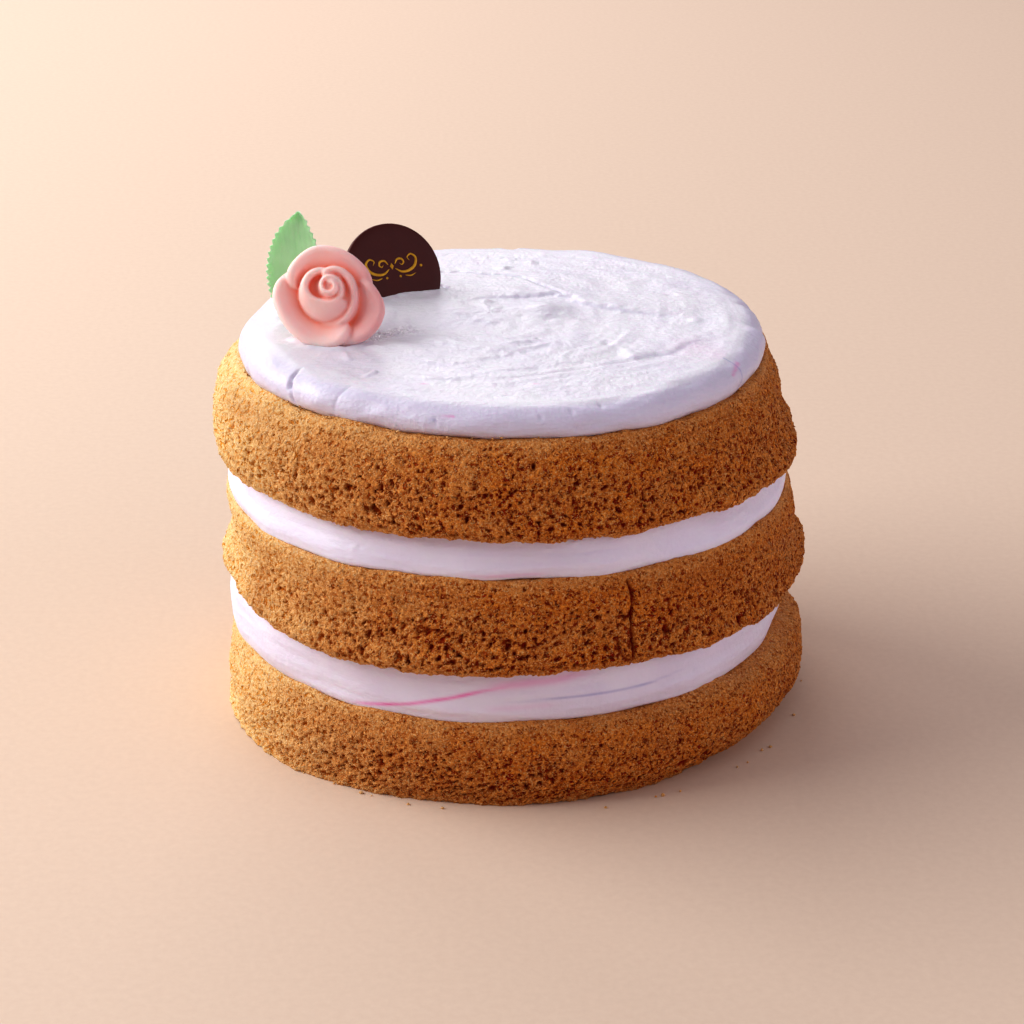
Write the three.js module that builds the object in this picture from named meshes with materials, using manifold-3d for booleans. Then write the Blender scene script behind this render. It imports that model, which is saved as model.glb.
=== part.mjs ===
// A three-layer naked cake: three sponges, two cream fillings, an icing top, and three toppings.
// Millimetres, +Z up. The cake stands on z = 0 and is seen from the front along +Y.

import * as THREE from 'three';
import { mergeVertices } from 'three/addons/utils/BufferGeometryUtils.js';
import Module from 'manifold-3d';

const wasm = await Module();
wasm.setup();

// ---------------------------------------------------------------- driving dimensions

const FACETS_AROUND = 72;      // facets round every layer
const CUT_GAP = 0.3;           // clearance round a topping that is pushed into the icing

// Heights of the interfaces, from the underside up.
const SPONGE_BOTTOM_TOP = 23.5;
const FILLING_LOWER_TOP = 38.9;
const SPONGE_MIDDLE_TOP = 63.5;
const FILLING_UPPER_TOP = 74.6;
const SPONGE_TOP_TOP = 98.3;
const ICING_HEIGHT = 106;

// Each ring of a layer is [share of its thickness, radius, oval, shift along X, shift along Y].
// A positive oval makes the ring deeper than it is wide, and the shifts lean the layer.
// Each lobe is [count round the cake, swell, direction of one crest in degrees].
// Lobes fade from the foot's set to the top's set on the way up.
const SPONGE_BOTTOM = {
  from: 0,
  to: SPONGE_BOTTOM_TOP,
  rings: [
    [0.00, 73.9, 0.4, -4.6, -0.2],
    [0.12, 75.7, 0.3, -2.3, 0.0],
    [0.30, 77.5, -0.5, 0.1, 0.0],
    [0.50, 78.1, -0.7, 0.9, 0.0],
    [0.70, 77.7, -0.5, 1.1, 0.0],
    [0.87, 77.0, -0.6, 1.1, 0.0],
    [0.96, 75.7, -0.5, -0.2, 0.0],
    [1.00, 74.2, -0.3, -1.9, 0.0],
  ],
  footLobes: [[3, 0.5, -30], [5, 0.5, -70]],
  topLobes: [[3, 0.5, 25], [5, 0.4, 27]],
};

const FILLING_LOWER = {
  from: SPONGE_BOTTOM_TOP,
  to: FILLING_LOWER_TOP,
  rings: [
    [0.00, 73.4, -0.2, -1.9, 0.0],
    [0.14, 74.8, -0.1, -1.9, 0.0],
    [0.50, 75.4, 0.0, -1.9, 0.0],
    [0.86, 75.0, 0.0, -1.9, 0.0],
    [1.00, 74.0, 0.0, -1.9, 0.0],
  ],
  footLobes: [[3, 0.5, 25], [5, 0.4, 27]],
  topLobes: [[2, 0.4, 60], [3, 0.4, 10]],
};

const SPONGE_MIDDLE = {
  from: FILLING_LOWER_TOP,
  to: SPONGE_MIDDLE_TOP,
  rings: [
    [0.00, 79.0, 0.9, -0.2, 0.0],
    [0.07, 80.4, 0.9, -0.2, 0.0],
    [0.30, 78.6, 1.0, -0.3, -0.2],
    [0.50, 77.7, 1.1, 0.0, -0.2],
    [0.70, 77.4, 1.0, 0.0, -0.2],
    [0.87, 77.1, 0.9, -0.8, -0.1],
    [1.00, 75.9, 0.7, -1.2, 0.0],
  ],
  footLobes: [[3, 1.1, 9], [4, 0.5, -40], [5, 0.6, 25]],
  topLobes: [[3, 0.6, -18], [4, 0.6, 36]],
};

const FILLING_UPPER = {
  from: SPONGE_MIDDLE_TOP,
  to: FILLING_UPPER_TOP,
  rings: [
    [0.00, 75.2, 0.7, -1.2, 0.0],
    [0.16, 76.0, 0.8, -1.3, 0.0],
    [0.50, 75.2, 1.0, -1.6, 0.0],
    [0.82, 74.1, 1.0, -1.9, 0.0],
    [1.00, 72.9, 0.8, -1.9, 0.0],
  ],
  footLobes: [[3, 0.6, -18], [4, 0.6, 36]],
  topLobes: [[2, 0.5, -30], [3, 0.5, 40]],
};

const SPONGE_TOP = {
  from: FILLING_UPPER_TOP,
  to: SPONGE_TOP_TOP,
  rings: [
    [0.00, 77.3, 1.1, -0.7, -0.6],
    [0.07, 78.4, 1.1, -0.9, -0.6],
    [0.30, 77.4, 1.0, -2.8, -0.5],
    [0.50, 76.6, 0.8, -2.9, -0.4],
    [0.70, 75.2, 0.6, -2.8, -0.3],
    [0.87, 73.0, 0.7, -2.7, 0.0],
    [1.00, 70.2, 0.2, -1.6, 0.0],
  ],
  footLobes: [[3, 0.7, -27], [4, 0.4, 32], [5, 0.7, -26]],
  topLobes: [[3, 0.6, -56], [4, 0.5, 27], [5, 0.5, 36]],
};

// The icing's side, below its rounded rim, and the rings of its top on the way to the middle.
const ICING_SIDE = {
  from: SPONGE_TOP_TOP,
  to: ICING_HEIGHT,
  rings: [
    [0.00, 68.3, 0.2, -1.8, -0.2],
    [0.12, 69.1, 0.1, -1.9, -0.5],
    [0.42, 69.3, 0.1, -2.0, -0.9],
    [0.70, 68.2, 0.1, -2.1, -1.0],
    [0.90, 65.8, 0.1, -2.1, -1.0],
  ],
  footLobes: [[3, 0.6, -56], [4, 0.5, 27], [5, 0.5, 36]],
  topLobes: [[3, 0.7, -50], [4, 0.5, 27]],
};
const ICING_TOP_RADII = [62.8, 54, 42, 28, 14];
const ICING_CENTRE = [-1.9, -1];

// Low mounds and dips that the spatula left: [x, y, reach, height].
const ICING_MOUNDS = [
  [0, 29, 22, 0.9],
  [-30, 14, 12, 0.8],
  [-52, -28, 14, 0.9],
  [30, -18, 26, -0.5],
  [-10, -30, 18, 0.4],
  [48, 22, 16, 0.5],
  [0, 66, 34, -1.2],
];
// Long shallow strokes: [wave length, height, direction in degrees].
const ICING_STROKES = [[46, 0.25, 78], [27, 0.18, 96]];
// The torn fold in the rim at the left front: [angle in degrees, half width in degrees, depth].
const RIM_FOLD = [-141, 6, 2.4];

// The sugar rose faces the front, tipped back.
const ROSE_CENTRE = [-47.3, -19.2, 119];      // middle of the outer petals' rim
const ROSE_ELEVATION = 30;                    // how far its axis rises above level, degrees
const ROSE_DEPTH = 13;                        // from the outer rim back to the underside
const ROSE_RADIUS = 15;
// Petals are [direction, half span, foot radius, rim radius, rim height, outward roll], degrees and mm.
// Heights are above the rose's underside.
const ROSE_PETALS = [
  [88, 78, 5.5, 13.0, 13.5, 3.0],
  [212, 68, 5.5, 14.4, 12.5, 3.4],
  [-42, 62, 5.5, 14.2, 12.0, 3.4],
  [205, 95, 4.0, 7.6, 15.5, 0.9],
  [20, 95, 4.0, 7.4, 16.0, 0.9],
  [120, 100, 2.5, 4.7, 17.0, 0.3],
  [-60, 100, 2.5, 4.4, 17.0, 0.3],
];
const PETAL_THICKNESS = 1.7;
const PETAL_STEPS_ACROSS = 8;
const PETAL_STEPS_UP = 4;
const PETAL_RIM_DROP = 0.22;                  // share of the rim's height lost at a petal's ends
const BUD_RADIUS = 2.3;
const BUD_HEIGHT = 17.3;
const ROSE_SEAT_MARGIN = 0.5;                 // the seat in the icing is this much wider than the rose

// The leaf stands behind the rose, pushed into the icing.
const LEAF_FOOT = [-56.8, -0.4, 103];
const LEAF_LENGTH = 32;
const LEAF_HALF_WIDTH = 7.6;
const LEAF_THICKNESS = 1.2;
const LEAF_TEETH = 13;                        // down each side
const LEAF_TOOTH_DEPTH = 0.7;
const LEAF_CUP = 1.4;                         // how far the sides come forward
const LEAF_LEAN = 3;                          // backwards, degrees
const LEAF_STEPS_ACROSS = 4;

// The chocolate disc stands on edge, sunk to the sponge, turned about the vertical and leaning back.
const DISC_CENTRE = [-32.3, 19.0, 111.8];
const DISC_RADIUS = 14;
const DISC_THICKNESS = 1.8;
const DISC_CHAMFER = 0.4;
const DISC_TURN = 27;
const DISC_LEAN = 26;
const DISC_FACETS = 44;

// ---------------------------------------------------------------- shared helpers

const radians = THREE.MathUtils.degToRad;

function material(colour, roughness) {
  return new THREE.MeshStandardMaterial({ color: colour, roughness, metalness: 0 });
}

const SPONGE_LOOK = material(0xa8682c, 0.9);
const CREAM_LOOK = material(0xe6dcee, 0.45);
const ROSE_LOOK = material(0xf3a79c, 0.6);
const LEAF_LOOK = material(0x97d2a3, 0.7);
const CHOCOLATE_LOOK = material(0x3a1a18, 0.35);

function swell(lobes, angle) {
  let sum = 0;
  for (const [count, size, crest] of lobes) {
    sum += size * Math.cos(count * (angle - radians(crest)));
  }
  return sum;
}

// A dent that is deepest at its middle angle and fades to nothing at its half width.
function dent([middle, halfWidth, depth], angle) {
  const turn = THREE.MathUtils.euclideanModulo(angle - radians(middle) + Math.PI, 2 * Math.PI);
  const share = Math.min(1, Math.abs(turn - Math.PI) / radians(halfWidth));
  return depth * (1 - share) ** 2;
}

function anglesAround() {
  return Array.from({ length: FACETS_AROUND }, (_, i) => (2 * Math.PI * i) / FACETS_AROUND);
}

// One ring of a layer as points round the cake.
function layerRing(layer, [share, radius, oval, shiftX, shiftY]) {
  const height = THREE.MathUtils.lerp(layer.from, layer.to, share);
  return anglesAround().map((angle) => {
    const lobes = THREE.MathUtils.lerp(swell(layer.footLobes, angle), swell(layer.topLobes, angle), share);
    const reach = radius + lobes - oval * Math.cos(2 * angle) - (layer.fold ? dent(layer.fold, angle) : 0);
    return new THREE.Vector3(shiftX + reach * Math.cos(angle), shiftY + reach * Math.sin(angle), height);
  });
}

// A closed body through rings of equal count, with a fan to a point at each end.
function ringSolid(rings, lowPoint, highPoint) {
  const count = rings[0].length;
  const points = [...rings.flat(), lowPoint, highPoint];
  const low = points.length - 2;
  const high = points.length - 1;
  const last = (rings.length - 1) * count;
  const index = [];
  for (let i = 0; i < count; i += 1) {
    const j = (i + 1) % count;
    index.push(low, j, i);
    index.push(high, last + i, last + j);
    for (let k = 0; k < rings.length - 1; k += 1) {
      const a = k * count;
      const b = a + count;
      index.push(a + i, a + j, b + j);
      index.push(a + i, b + j, b + i);
    }
  }
  return indexedGeometry(points, index);
}

function indexedGeometry(points, index) {
  const geometry = new THREE.BufferGeometry();
  geometry.setAttribute('position', new THREE.Float32BufferAttribute(points.flatMap((p) => p.toArray()), 3));
  geometry.setIndex(index);
  return geometry;
}

function centreOf(ring) {
  const sum = ring.reduce((total, p) => total.add(p), new THREE.Vector3());
  return sum.divideScalar(ring.length);
}

function layerSolid(layer) {
  const rings = layer.rings.map((ring) => layerRing(layer, ring));
  return ringSolid(rings, centreOf(rings[0]), centreOf(rings[rings.length - 1]));
}

// A closed plate between a front and a back surface, both given over a grid of u and v steps.
function plateSolid(stepsU, stepsV, front, back) {
  const side = (surface) => {
    const points = [];
    for (let j = 0; j <= stepsV; j += 1) {
      for (let i = 0; i <= stepsU; i += 1) {
        points.push(surface(i / stepsU, j / stepsV));
      }
    }
    return points;
  };
  const points = [...side(front), ...side(back)];
  const half = points.length / 2;
  const at = (i, j) => j * (stepsU + 1) + i;
  const index = [];
  const quad = (a, b, c, d) => index.push(a, b, c, a, c, d);
  for (let j = 0; j < stepsV; j += 1) {
    for (let i = 0; i < stepsU; i += 1) {
      quad(at(i, j), at(i + 1, j), at(i + 1, j + 1), at(i, j + 1));
      quad(half + at(i, j), half + at(i, j + 1), half + at(i + 1, j + 1), half + at(i + 1, j));
    }
  }
  for (let i = 0; i < stepsU; i += 1) {
    quad(at(i, 0), half + at(i, 0), half + at(i + 1, 0), at(i + 1, 0));
    quad(at(i + 1, stepsV), half + at(i + 1, stepsV), half + at(i, stepsV), at(i, stepsV));
  }
  for (let j = 0; j < stepsV; j += 1) {
    quad(at(0, j + 1), half + at(0, j + 1), half + at(0, j), at(0, j));
    quad(at(stepsU, j), half + at(stepsU, j), half + at(stepsU, j + 1), at(stepsU, j + 1));
  }
  return indexedGeometry(points, index);
}

function toManifold(geometry) {
  const bare = geometry.clone();
  bare.deleteAttribute('normal');
  bare.deleteAttribute('uv');
  const welded = mergeVertices(bare);
  const triVerts = new Uint32Array(welded.index.array);
  const vertProperties = new Float32Array(welded.attributes.position.array);
  return new wasm.Manifold(new wasm.Mesh({ numProp: 3, vertProperties, triVerts }));
}

function toGeometry(solid) {
  const mesh = solid.getMesh();
  const geometry = new THREE.BufferGeometry();
  geometry.setAttribute('position', new THREE.Float32BufferAttribute(mesh.vertProperties, 3));
  geometry.setIndex([...mesh.triVerts]);
  return geometry;
}

function named(name, geometry, look) {
  const mesh = new THREE.Mesh(geometry, look);
  mesh.name = name;
  return mesh;
}

// ---------------------------------------------------------------- icing

function icingHeight(x, y) {
  let height = ICING_HEIGHT;
  for (const [mx, my, reach, rise] of ICING_MOUNDS) {
    height += rise * Math.exp(-((x - mx) ** 2 + (y - my) ** 2) / reach ** 2);
  }
  for (const [length, rise, direction] of ICING_STROKES) {
    const along = x * Math.cos(radians(direction)) + y * Math.sin(radians(direction));
    height += rise * Math.sin((2 * Math.PI * along) / length);
  }
  return height;
}

// The side's rings follow the top's mounds and dips more the higher they are.
function icingSideRing(ring) {
  const points = layerRing({ ...ICING_SIDE, fold: RIM_FOLD }, ring);
  for (const point of points) {
    point.z += ring[0] * (icingHeight(point.x, point.y) - ICING_HEIGHT);
  }
  return points;
}

// The top's rings keep the lobes of the rim, fading towards the middle.
function icingTopRing(radius) {
  const fade = radius / ICING_SIDE.rings[0][1];
  return anglesAround().map((angle) => {
    const reach = radius + fade * swell(ICING_SIDE.topLobes, angle);
    const x = ICING_CENTRE[0] + reach * Math.cos(angle);
    const y = ICING_CENTRE[1] + reach * Math.sin(angle);
    return new THREE.Vector3(x, y, icingHeight(x, y));
  });
}

function icingSolid() {
  const side = ICING_SIDE.rings.map(icingSideRing);
  const top = ICING_TOP_RADII.map(icingTopRing);
  const middle = new THREE.Vector3(...ICING_CENTRE, icingHeight(...ICING_CENTRE));
  return ringSolid([...side, ...top], centreOf(side[0]), middle);
}

// ---------------------------------------------------------------- rose

// A petal rises from its foot ring, opens like a cup, and rolls outwards along its rim.
function petalSurface([direction, halfSpan, footRadius, rimRadius, rimHeight, roll], inwards) {
  return (u, v) => {
    const across = 2 * u - 1;
    const angle = radians(direction + across * halfSpan * (0.8 + 0.2 * v));
    const open = Math.sin((v * Math.PI) / 2) ** 0.8;
    const curl = Math.max(0, v - 0.6) / 0.4;
    const radius = footRadius + (rimRadius - roll - footRadius) * open + roll * curl - inwards;
    const drop = PETAL_RIM_DROP * across ** 4;
    const rise = rimHeight * (1 - drop) * v - 0.25 * roll * curl ** 2;
    return new THREE.Vector3(radius * Math.cos(angle), radius * Math.sin(angle), 0.6 + rise);
  };
}

function petalSolid(petal) {
  const outside = petalSurface(petal, 0);
  const inside = petalSurface(petal, PETAL_THICKNESS);
  return plateSolid(PETAL_STEPS_ACROSS, PETAL_STEPS_UP, outside, inside);
}

function lathe(profile, facets) {
  const geometry = new THREE.LatheGeometry(profile.map(([r, h]) => new THREE.Vector2(r, h)), facets);
  geometry.rotateX(Math.PI / 2);
  return geometry;
}

// The heart fills the cup behind the petals, and carries the bud.
function roseHeart() {
  const profile = [
    [0, 0],
    [6.2, 0.4],
    [8.6, 3.5],
    [9.4, 7],
    [7.2, 10],
    [4.6, 11.5],
    [BUD_RADIUS, 12.5],
    [BUD_RADIUS, BUD_HEIGHT - 0.6],
    [BUD_RADIUS * 0.6, BUD_HEIGHT],
    [0, BUD_HEIGHT - 1],
  ];
  return lathe(profile, 20);
}

function roseSolid() {
  let rose = toManifold(roseHeart());
  for (const petal of ROSE_PETALS) {
    rose = rose.add(toManifold(petalSolid(petal)));
  }
  return toGeometry(rose);
}

// The hollow that the rose presses into the icing, a round bowl a little larger than the rose.
function roseSeat() {
  const wide = ROSE_RADIUS + ROSE_SEAT_MARGIN;
  const profile = [
    [0, -ROSE_SEAT_MARGIN],
    [7, -ROSE_SEAT_MARGIN],
    [10.5, 3],
    [wide - 1.5, 8],
    [wide, 11.5],
    [wide, ROSE_DEPTH + ROSE_SEAT_MARGIN],
    [8, BUD_HEIGHT + ROSE_SEAT_MARGIN],
    [0, BUD_HEIGHT + ROSE_SEAT_MARGIN],
  ];
  return lathe(profile, 40);
}

function placeRose(object) {
  const tilt = radians(90 - ROSE_ELEVATION);
  object.rotation.set(tilt, 0, 0);
  const back = new THREE.Vector3(0, 0, -ROSE_DEPTH).applyEuler(object.rotation);
  object.position.set(...ROSE_CENTRE).add(back);
  return object;
}

// ---------------------------------------------------------------- leaf

function leafHalfWidth(share) {
  const outline = LEAF_HALF_WIDTH * Math.sin(Math.PI * (0.12 + 0.86 * share)) ** 0.7;
  const phase = (share * LEAF_TEETH) % 1;
  return outline - LEAF_TOOTH_DEPTH * phase;
}

function leafSurface(offset, grow) {
  return (u, v) => {
    const across = 2 * u - 1;
    const x = across * (leafHalfWidth(v) + grow);
    const y = offset - LEAF_CUP * across ** 2;
    return new THREE.Vector3(x, y, v * LEAF_LENGTH + (2 * v - 1) * grow);
  };
}

function leafSolid(grow) {
  const half = LEAF_THICKNESS / 2 + grow;
  const stepsUp = LEAF_TEETH * 2;
  return plateSolid(LEAF_STEPS_ACROSS, stepsUp, leafSurface(-half, grow), leafSurface(half, grow));
}

function placeLeaf(object) {
  object.position.set(...LEAF_FOOT);
  object.rotation.set(radians(-LEAF_LEAN), 0, 0);
  return object;
}

// ---------------------------------------------------------------- chocolate disc

function discSolid(grow) {
  const radius = DISC_RADIUS + grow;
  const half = DISC_THICKNESS / 2 + grow;
  const profile = [
    [0, -half],
    [radius - DISC_CHAMFER, -half],
    [radius, DISC_CHAMFER - half],
    [radius, half - DISC_CHAMFER],
    [radius - DISC_CHAMFER, half],
    [0, half],
  ];
  return lathe(profile, DISC_FACETS);
}

function placeDisc(object) {
  object.position.set(...DISC_CENTRE);
  object.rotation.set(radians(90 - DISC_LEAN), 0, radians(DISC_TURN), 'ZYX');
  return object;
}

// ---------------------------------------------------------------- assembly

function placedManifold(geometry, place) {
  const holder = place(new THREE.Object3D());
  holder.updateMatrixWorld(true);
  return toManifold(geometry.clone().applyMatrix4(holder.matrixWorld));
}

// The icing gives way round each topping that is pushed into it.
function icingWithSeats() {
  const icing = toManifold(icingSolid())
    .subtract(placedManifold(discSolid(CUT_GAP), placeDisc))
    .subtract(placedManifold(leafSolid(CUT_GAP), placeLeaf))
    .subtract(placedManifold(roseSeat(), placeRose));
  return toGeometry(icing);
}

const cake = new THREE.Group();
cake.add(named('sponge_bottom', layerSolid(SPONGE_BOTTOM), SPONGE_LOOK));
cake.add(named('filling_lower', layerSolid(FILLING_LOWER), CREAM_LOOK));
cake.add(named('sponge_middle', layerSolid(SPONGE_MIDDLE), SPONGE_LOOK));
cake.add(named('filling_upper', layerSolid(FILLING_UPPER), CREAM_LOOK));
cake.add(named('sponge_top', layerSolid(SPONGE_TOP), SPONGE_LOOK));
cake.add(named('icing_top', icingWithSeats(), CREAM_LOOK));
cake.add(placeRose(named('sugar_rose', roseSolid(), ROSE_LOOK)));
cake.add(placeLeaf(named('sugar_leaf', leafSolid(0), LEAF_LOOK)));
cake.add(placeDisc(named('chocolate_disc', discSolid(0), CHOCOLATE_LOOK)));

export default cake;
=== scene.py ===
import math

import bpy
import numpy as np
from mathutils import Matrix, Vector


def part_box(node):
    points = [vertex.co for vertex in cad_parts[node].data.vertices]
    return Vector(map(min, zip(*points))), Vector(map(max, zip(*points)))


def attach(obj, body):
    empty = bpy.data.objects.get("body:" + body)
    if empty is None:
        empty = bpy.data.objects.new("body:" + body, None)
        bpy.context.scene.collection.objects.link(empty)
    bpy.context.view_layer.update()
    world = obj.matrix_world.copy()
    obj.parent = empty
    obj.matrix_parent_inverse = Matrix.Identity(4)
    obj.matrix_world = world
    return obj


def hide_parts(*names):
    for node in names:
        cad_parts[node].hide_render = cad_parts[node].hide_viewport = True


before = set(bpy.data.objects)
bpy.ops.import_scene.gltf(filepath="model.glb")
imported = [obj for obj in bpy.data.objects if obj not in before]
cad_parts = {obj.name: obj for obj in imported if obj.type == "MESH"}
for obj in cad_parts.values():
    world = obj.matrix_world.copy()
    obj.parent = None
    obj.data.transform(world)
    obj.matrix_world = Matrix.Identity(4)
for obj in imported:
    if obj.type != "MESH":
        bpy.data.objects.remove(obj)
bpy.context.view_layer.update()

# The looks of a three-layer naked cake: open-crumbed sponges, smooth cream, spread icing, a sugar rose
# with its leaf, and a chocolate disc. Shapes are worked out in millimetres, and MM turns them into metres.
# Places on a layer's side are given as (angle in degrees from +X, height), in the CAD's frame.

MM = 0.001


# ---- numbers and noise

def smoothstep(low, high, value):
    share = np.clip((value - low) / (high - low), 0, 1)
    return share * share * (3 - 2 * share)


def unit(vectors):
    return vectors / np.linalg.norm(vectors, axis=-1, keepdims=True)


def turn_between(angle, place):
    """How far an angle is round from a place, from -180 to 180 degrees."""
    return (angle - place + 180) % 360 - 180


def bell(*shares):
    """1 where every share is 0, falling to almost 0 where one is 2."""
    return np.exp(-sum(share ** 2 for share in shares))


def wave_noise(shape, size, wavelength, seed, spread=0.4):
    """Seeded noise over a grid that wraps round both ways, with a standard deviation of 1.

    shape is (rows, columns) and size the grid's real size in mm. wavelength is in mm, one number or one
    for each direction. spread is how far the wavelengths vary round it, in powers of e.
    """
    down, around = np.broadcast_to(wavelength, 2)
    waves_down = np.fft.fftfreq(shape[0], size[0] / shape[0]) * down
    waves_around = np.fft.rfftfreq(shape[1], size[1] / shape[1]) * around
    waves = np.hypot(waves_down[:, None], waves_around[None, :])
    waves[0, 0] = 1e-9
    keep = np.exp(-(np.log(waves) / spread) ** 2)
    white = np.random.default_rng(seed).standard_normal(shape)
    field = np.fft.irfft2(np.fft.rfft2(white) * keep, shape)
    return field / field.std()


def spline(knots, values, samples):
    """Values at the samples, on a smooth curve through values at the knots."""
    values = np.asarray(values, float)
    knots = np.asarray(knots, float)
    slopes = np.gradient(values, knots, axis=0)
    cell = np.clip(np.searchsorted(knots, samples, side="right") - 1, 0, len(knots) - 2)
    step = knots[cell + 1] - knots[cell]
    t = (samples - knots[cell]) / step
    extra = (1,) * (values.ndim - 1)
    t = t.reshape(-1, *extra)
    step = step.reshape(-1, *extra)
    start = (1 + 2 * t) * (1 - t) ** 2 * values[cell] + t * (1 - t) ** 2 * step * slopes[cell]
    end = t * t * (3 - 2 * t) * values[cell + 1] - t * t * (1 - t) * step * slopes[cell + 1]
    return start + end


def run_along(path):
    """How far each point of a path is from its start, along it."""
    return np.concatenate([[0], np.cumsum(np.linalg.norm(np.diff(path, axis=0), axis=-1))])


def smooth_path(path, step=0.5):
    """A path of points made round, with a point every step or so."""
    path = np.asarray(path, float)
    along = run_along(path)
    return spline(along, path, np.linspace(0, along[-1], max(3, int(along[-1] / step))))


def nearest_on_path(x, y, path):
    """For each point: its distance from the smoothed path, its share along it, and its side (+1 is left)."""
    path = smooth_path(path)
    distance = np.full(np.shape(x), np.inf)
    share = np.zeros(np.shape(x))
    side = np.ones(np.shape(x))
    count = len(path) - 1
    for i in range(count):
        start = path[i]
        along = path[i + 1] - path[i]
        t = np.clip(((x - start[0]) * along[0] + (y - start[1]) * along[1]) / (along @ along), 0, 1)
        dx = x - start[0] - t * along[0]
        dy = y - start[1] - t * along[1]
        here = np.hypot(dx, dy)
        closer = here < distance
        distance = np.where(closer, here, distance)
        share = np.where(closer, (i + t) / count, share)
        side = np.where(closer, np.where(along[0] * dy - along[1] * dx < 0, -1, 1), side)
    return distance, share, side


def ends_fade(share, length=0.2):
    """1 along a path, fading to 0 at both its ends."""
    return smoothstep(0, length, share) * smoothstep(0, length, 1 - share)


# ---- meshes

def grid_quads(rows, columns, wrap):
    """Quads over rows of points, each row counter-clockwise and the rows going up."""
    row = np.arange(rows - 1)[:, None] * columns
    column = np.arange(columns if wrap else columns - 1)[None, :]
    following = (column + 1) % columns
    quads = np.stack([row + column, row + following, row + columns + following, row + columns + column], -1)
    return quads.reshape(-1, 4).tolist()


def fan(middle, ring):
    return [(middle, ring[i], ring[(i + 1) % len(ring)]) for i in range(len(ring))]


def capped_rows(rows, columns):
    """Quads over closed rows of points, with a face over each end."""
    ends = [tuple(range(columns))[::-1], tuple(range((rows - 1) * columns, rows * columns))]
    return grid_quads(rows, columns, wrap=True) + ends


def set_values(mesh, values):
    """Stores named numbers, one for each point, for the materials."""
    for key, numbers in values.items():
        layer = mesh.attributes.new(key, "FLOAT", "POINT")
        layer.data.foreach_set("value", np.asarray(numbers, np.float32).ravel())


def make_mesh(name, points, faces, values=None):
    """A smooth-shaded object from points in mm."""
    mesh = bpy.data.meshes.new(name)
    mesh.from_pydata((np.asarray(points) * MM).tolist(), [], faces)
    set_values(mesh, values or {})
    mesh.polygons.foreach_set("use_smooth", [True] * len(mesh.polygons))
    mesh.update()
    piece = bpy.data.objects.new(name, mesh)
    bpy.context.scene.collection.objects.link(piece)
    return piece


def place(piece, look, slot, *nodes):
    """Gives a piece its material, hangs it under the root body, and hides the CAD nodes it stands for."""
    piece.data.materials.clear()
    piece.data.materials.append(look)
    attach(piece, "root")
    if nodes:
        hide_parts(*nodes)


# ---- a layer's side, from its CAD rings

HALF_FACET = 2.5  # degrees; the CAD layers have a facet every 5 degrees from +X
EDGE_FROM = 2.5  # points nearer a layer's middle than this aren't on its edge
CAP_REACH = 2.6  # how far a layer's flat faces are meshed finely inwards from their edge


def cad_rings(node):
    """The rings of points of a layer's CAD node, lowest first: rings x facets x XYZ, in mm."""
    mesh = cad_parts[node].data
    flat = np.empty(len(mesh.vertices) * 3)
    mesh.vertices.foreach_get("co", flat)
    points = np.unique(np.round(flat.reshape(-1, 3) / MM, 3), axis=0)
    rings = []
    for height in np.unique(points[:, 2]):
        ring = points[points[:, 2] == height]
        offset = ring[:, :2] - ring[:, :2].mean(axis=0)
        outer = np.hypot(offset[:, 0], offset[:, 1]) > EDGE_FROM
        angle = np.degrees(np.arctan2(offset[outer, 1], offset[outer, 0]))
        rings.append(ring[outer][np.argsort((angle + HALF_FACET) % 360)])
    return np.array(rings)


def drawn_in(ring, reach):
    """A ring moved inwards in its own plane."""
    middle = ring.mean(axis=0)
    offset = ring - middle
    return middle + offset * (1 - reach / np.linalg.norm(offset, axis=-1, keepdims=True))


def more_points(rings, columns):
    """The same rings with more points, exact because their outlines are made of a few waves."""
    return np.fft.irfft(np.fft.rfft(rings, axis=1), columns, axis=1) * (columns / rings.shape[1])


class Band:
    """Points in rows round a side, each with its angle in degrees and its height in mm."""

    def __init__(self, angle, height, radius, size):
        self.angle = angle
        self.height = height
        self.radius = radius
        self.size = size
        self.shape = height.shape

    def noise(self, wavelength, seed, spread=0.4):
        return wave_noise(self.shape, self.size, wavelength, seed, spread)

    def waves(self, heights, seed):
        """Noises on top of each other, as [wavelength, height]."""
        return sum(rise * self.noise(wavelength, seed + i) for i, (wavelength, rise) in enumerate(heights))

    def offset(self, angle, height):
        """How far each point is from a place on the side, round it and up, in mm."""
        return np.radians(turn_between(self.angle, angle)) * self.radius, self.height - height

    def spot(self, angle, height, wide, tall):
        """A soft spot: 1 at its middle, 0 well outside it."""
        across, up = self.offset(angle, height)
        return bell(across / wide, up / tall)

    def line(self, path, width, fade=None):
        """A soft line along a path of (angle, height) places. Its ends may fade."""
        start = path[0][0]
        across, up = self.offset(start, 0)
        places = [(math.radians(angle - start) * self.radius, height) for angle, height in path]
        distance, share, _ = nearest_on_path(across, up, places)
        line = bell(distance / width)
        return line if fade is None else line * ends_fade(share, fade)

    def tints(self, lines, fade=None, broken=1):
        """How much of each colour the lines drawn through the cream leave on each point."""
        values = {}
        for tint, drawn in lines.items():
            strokes = [strength * self.line(path, width, fade) * broken for path, width, strength in drawn]
            values[tint] = np.clip(np.max([np.zeros(self.shape), *strokes], axis=0), 0, 1)
        return values


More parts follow.
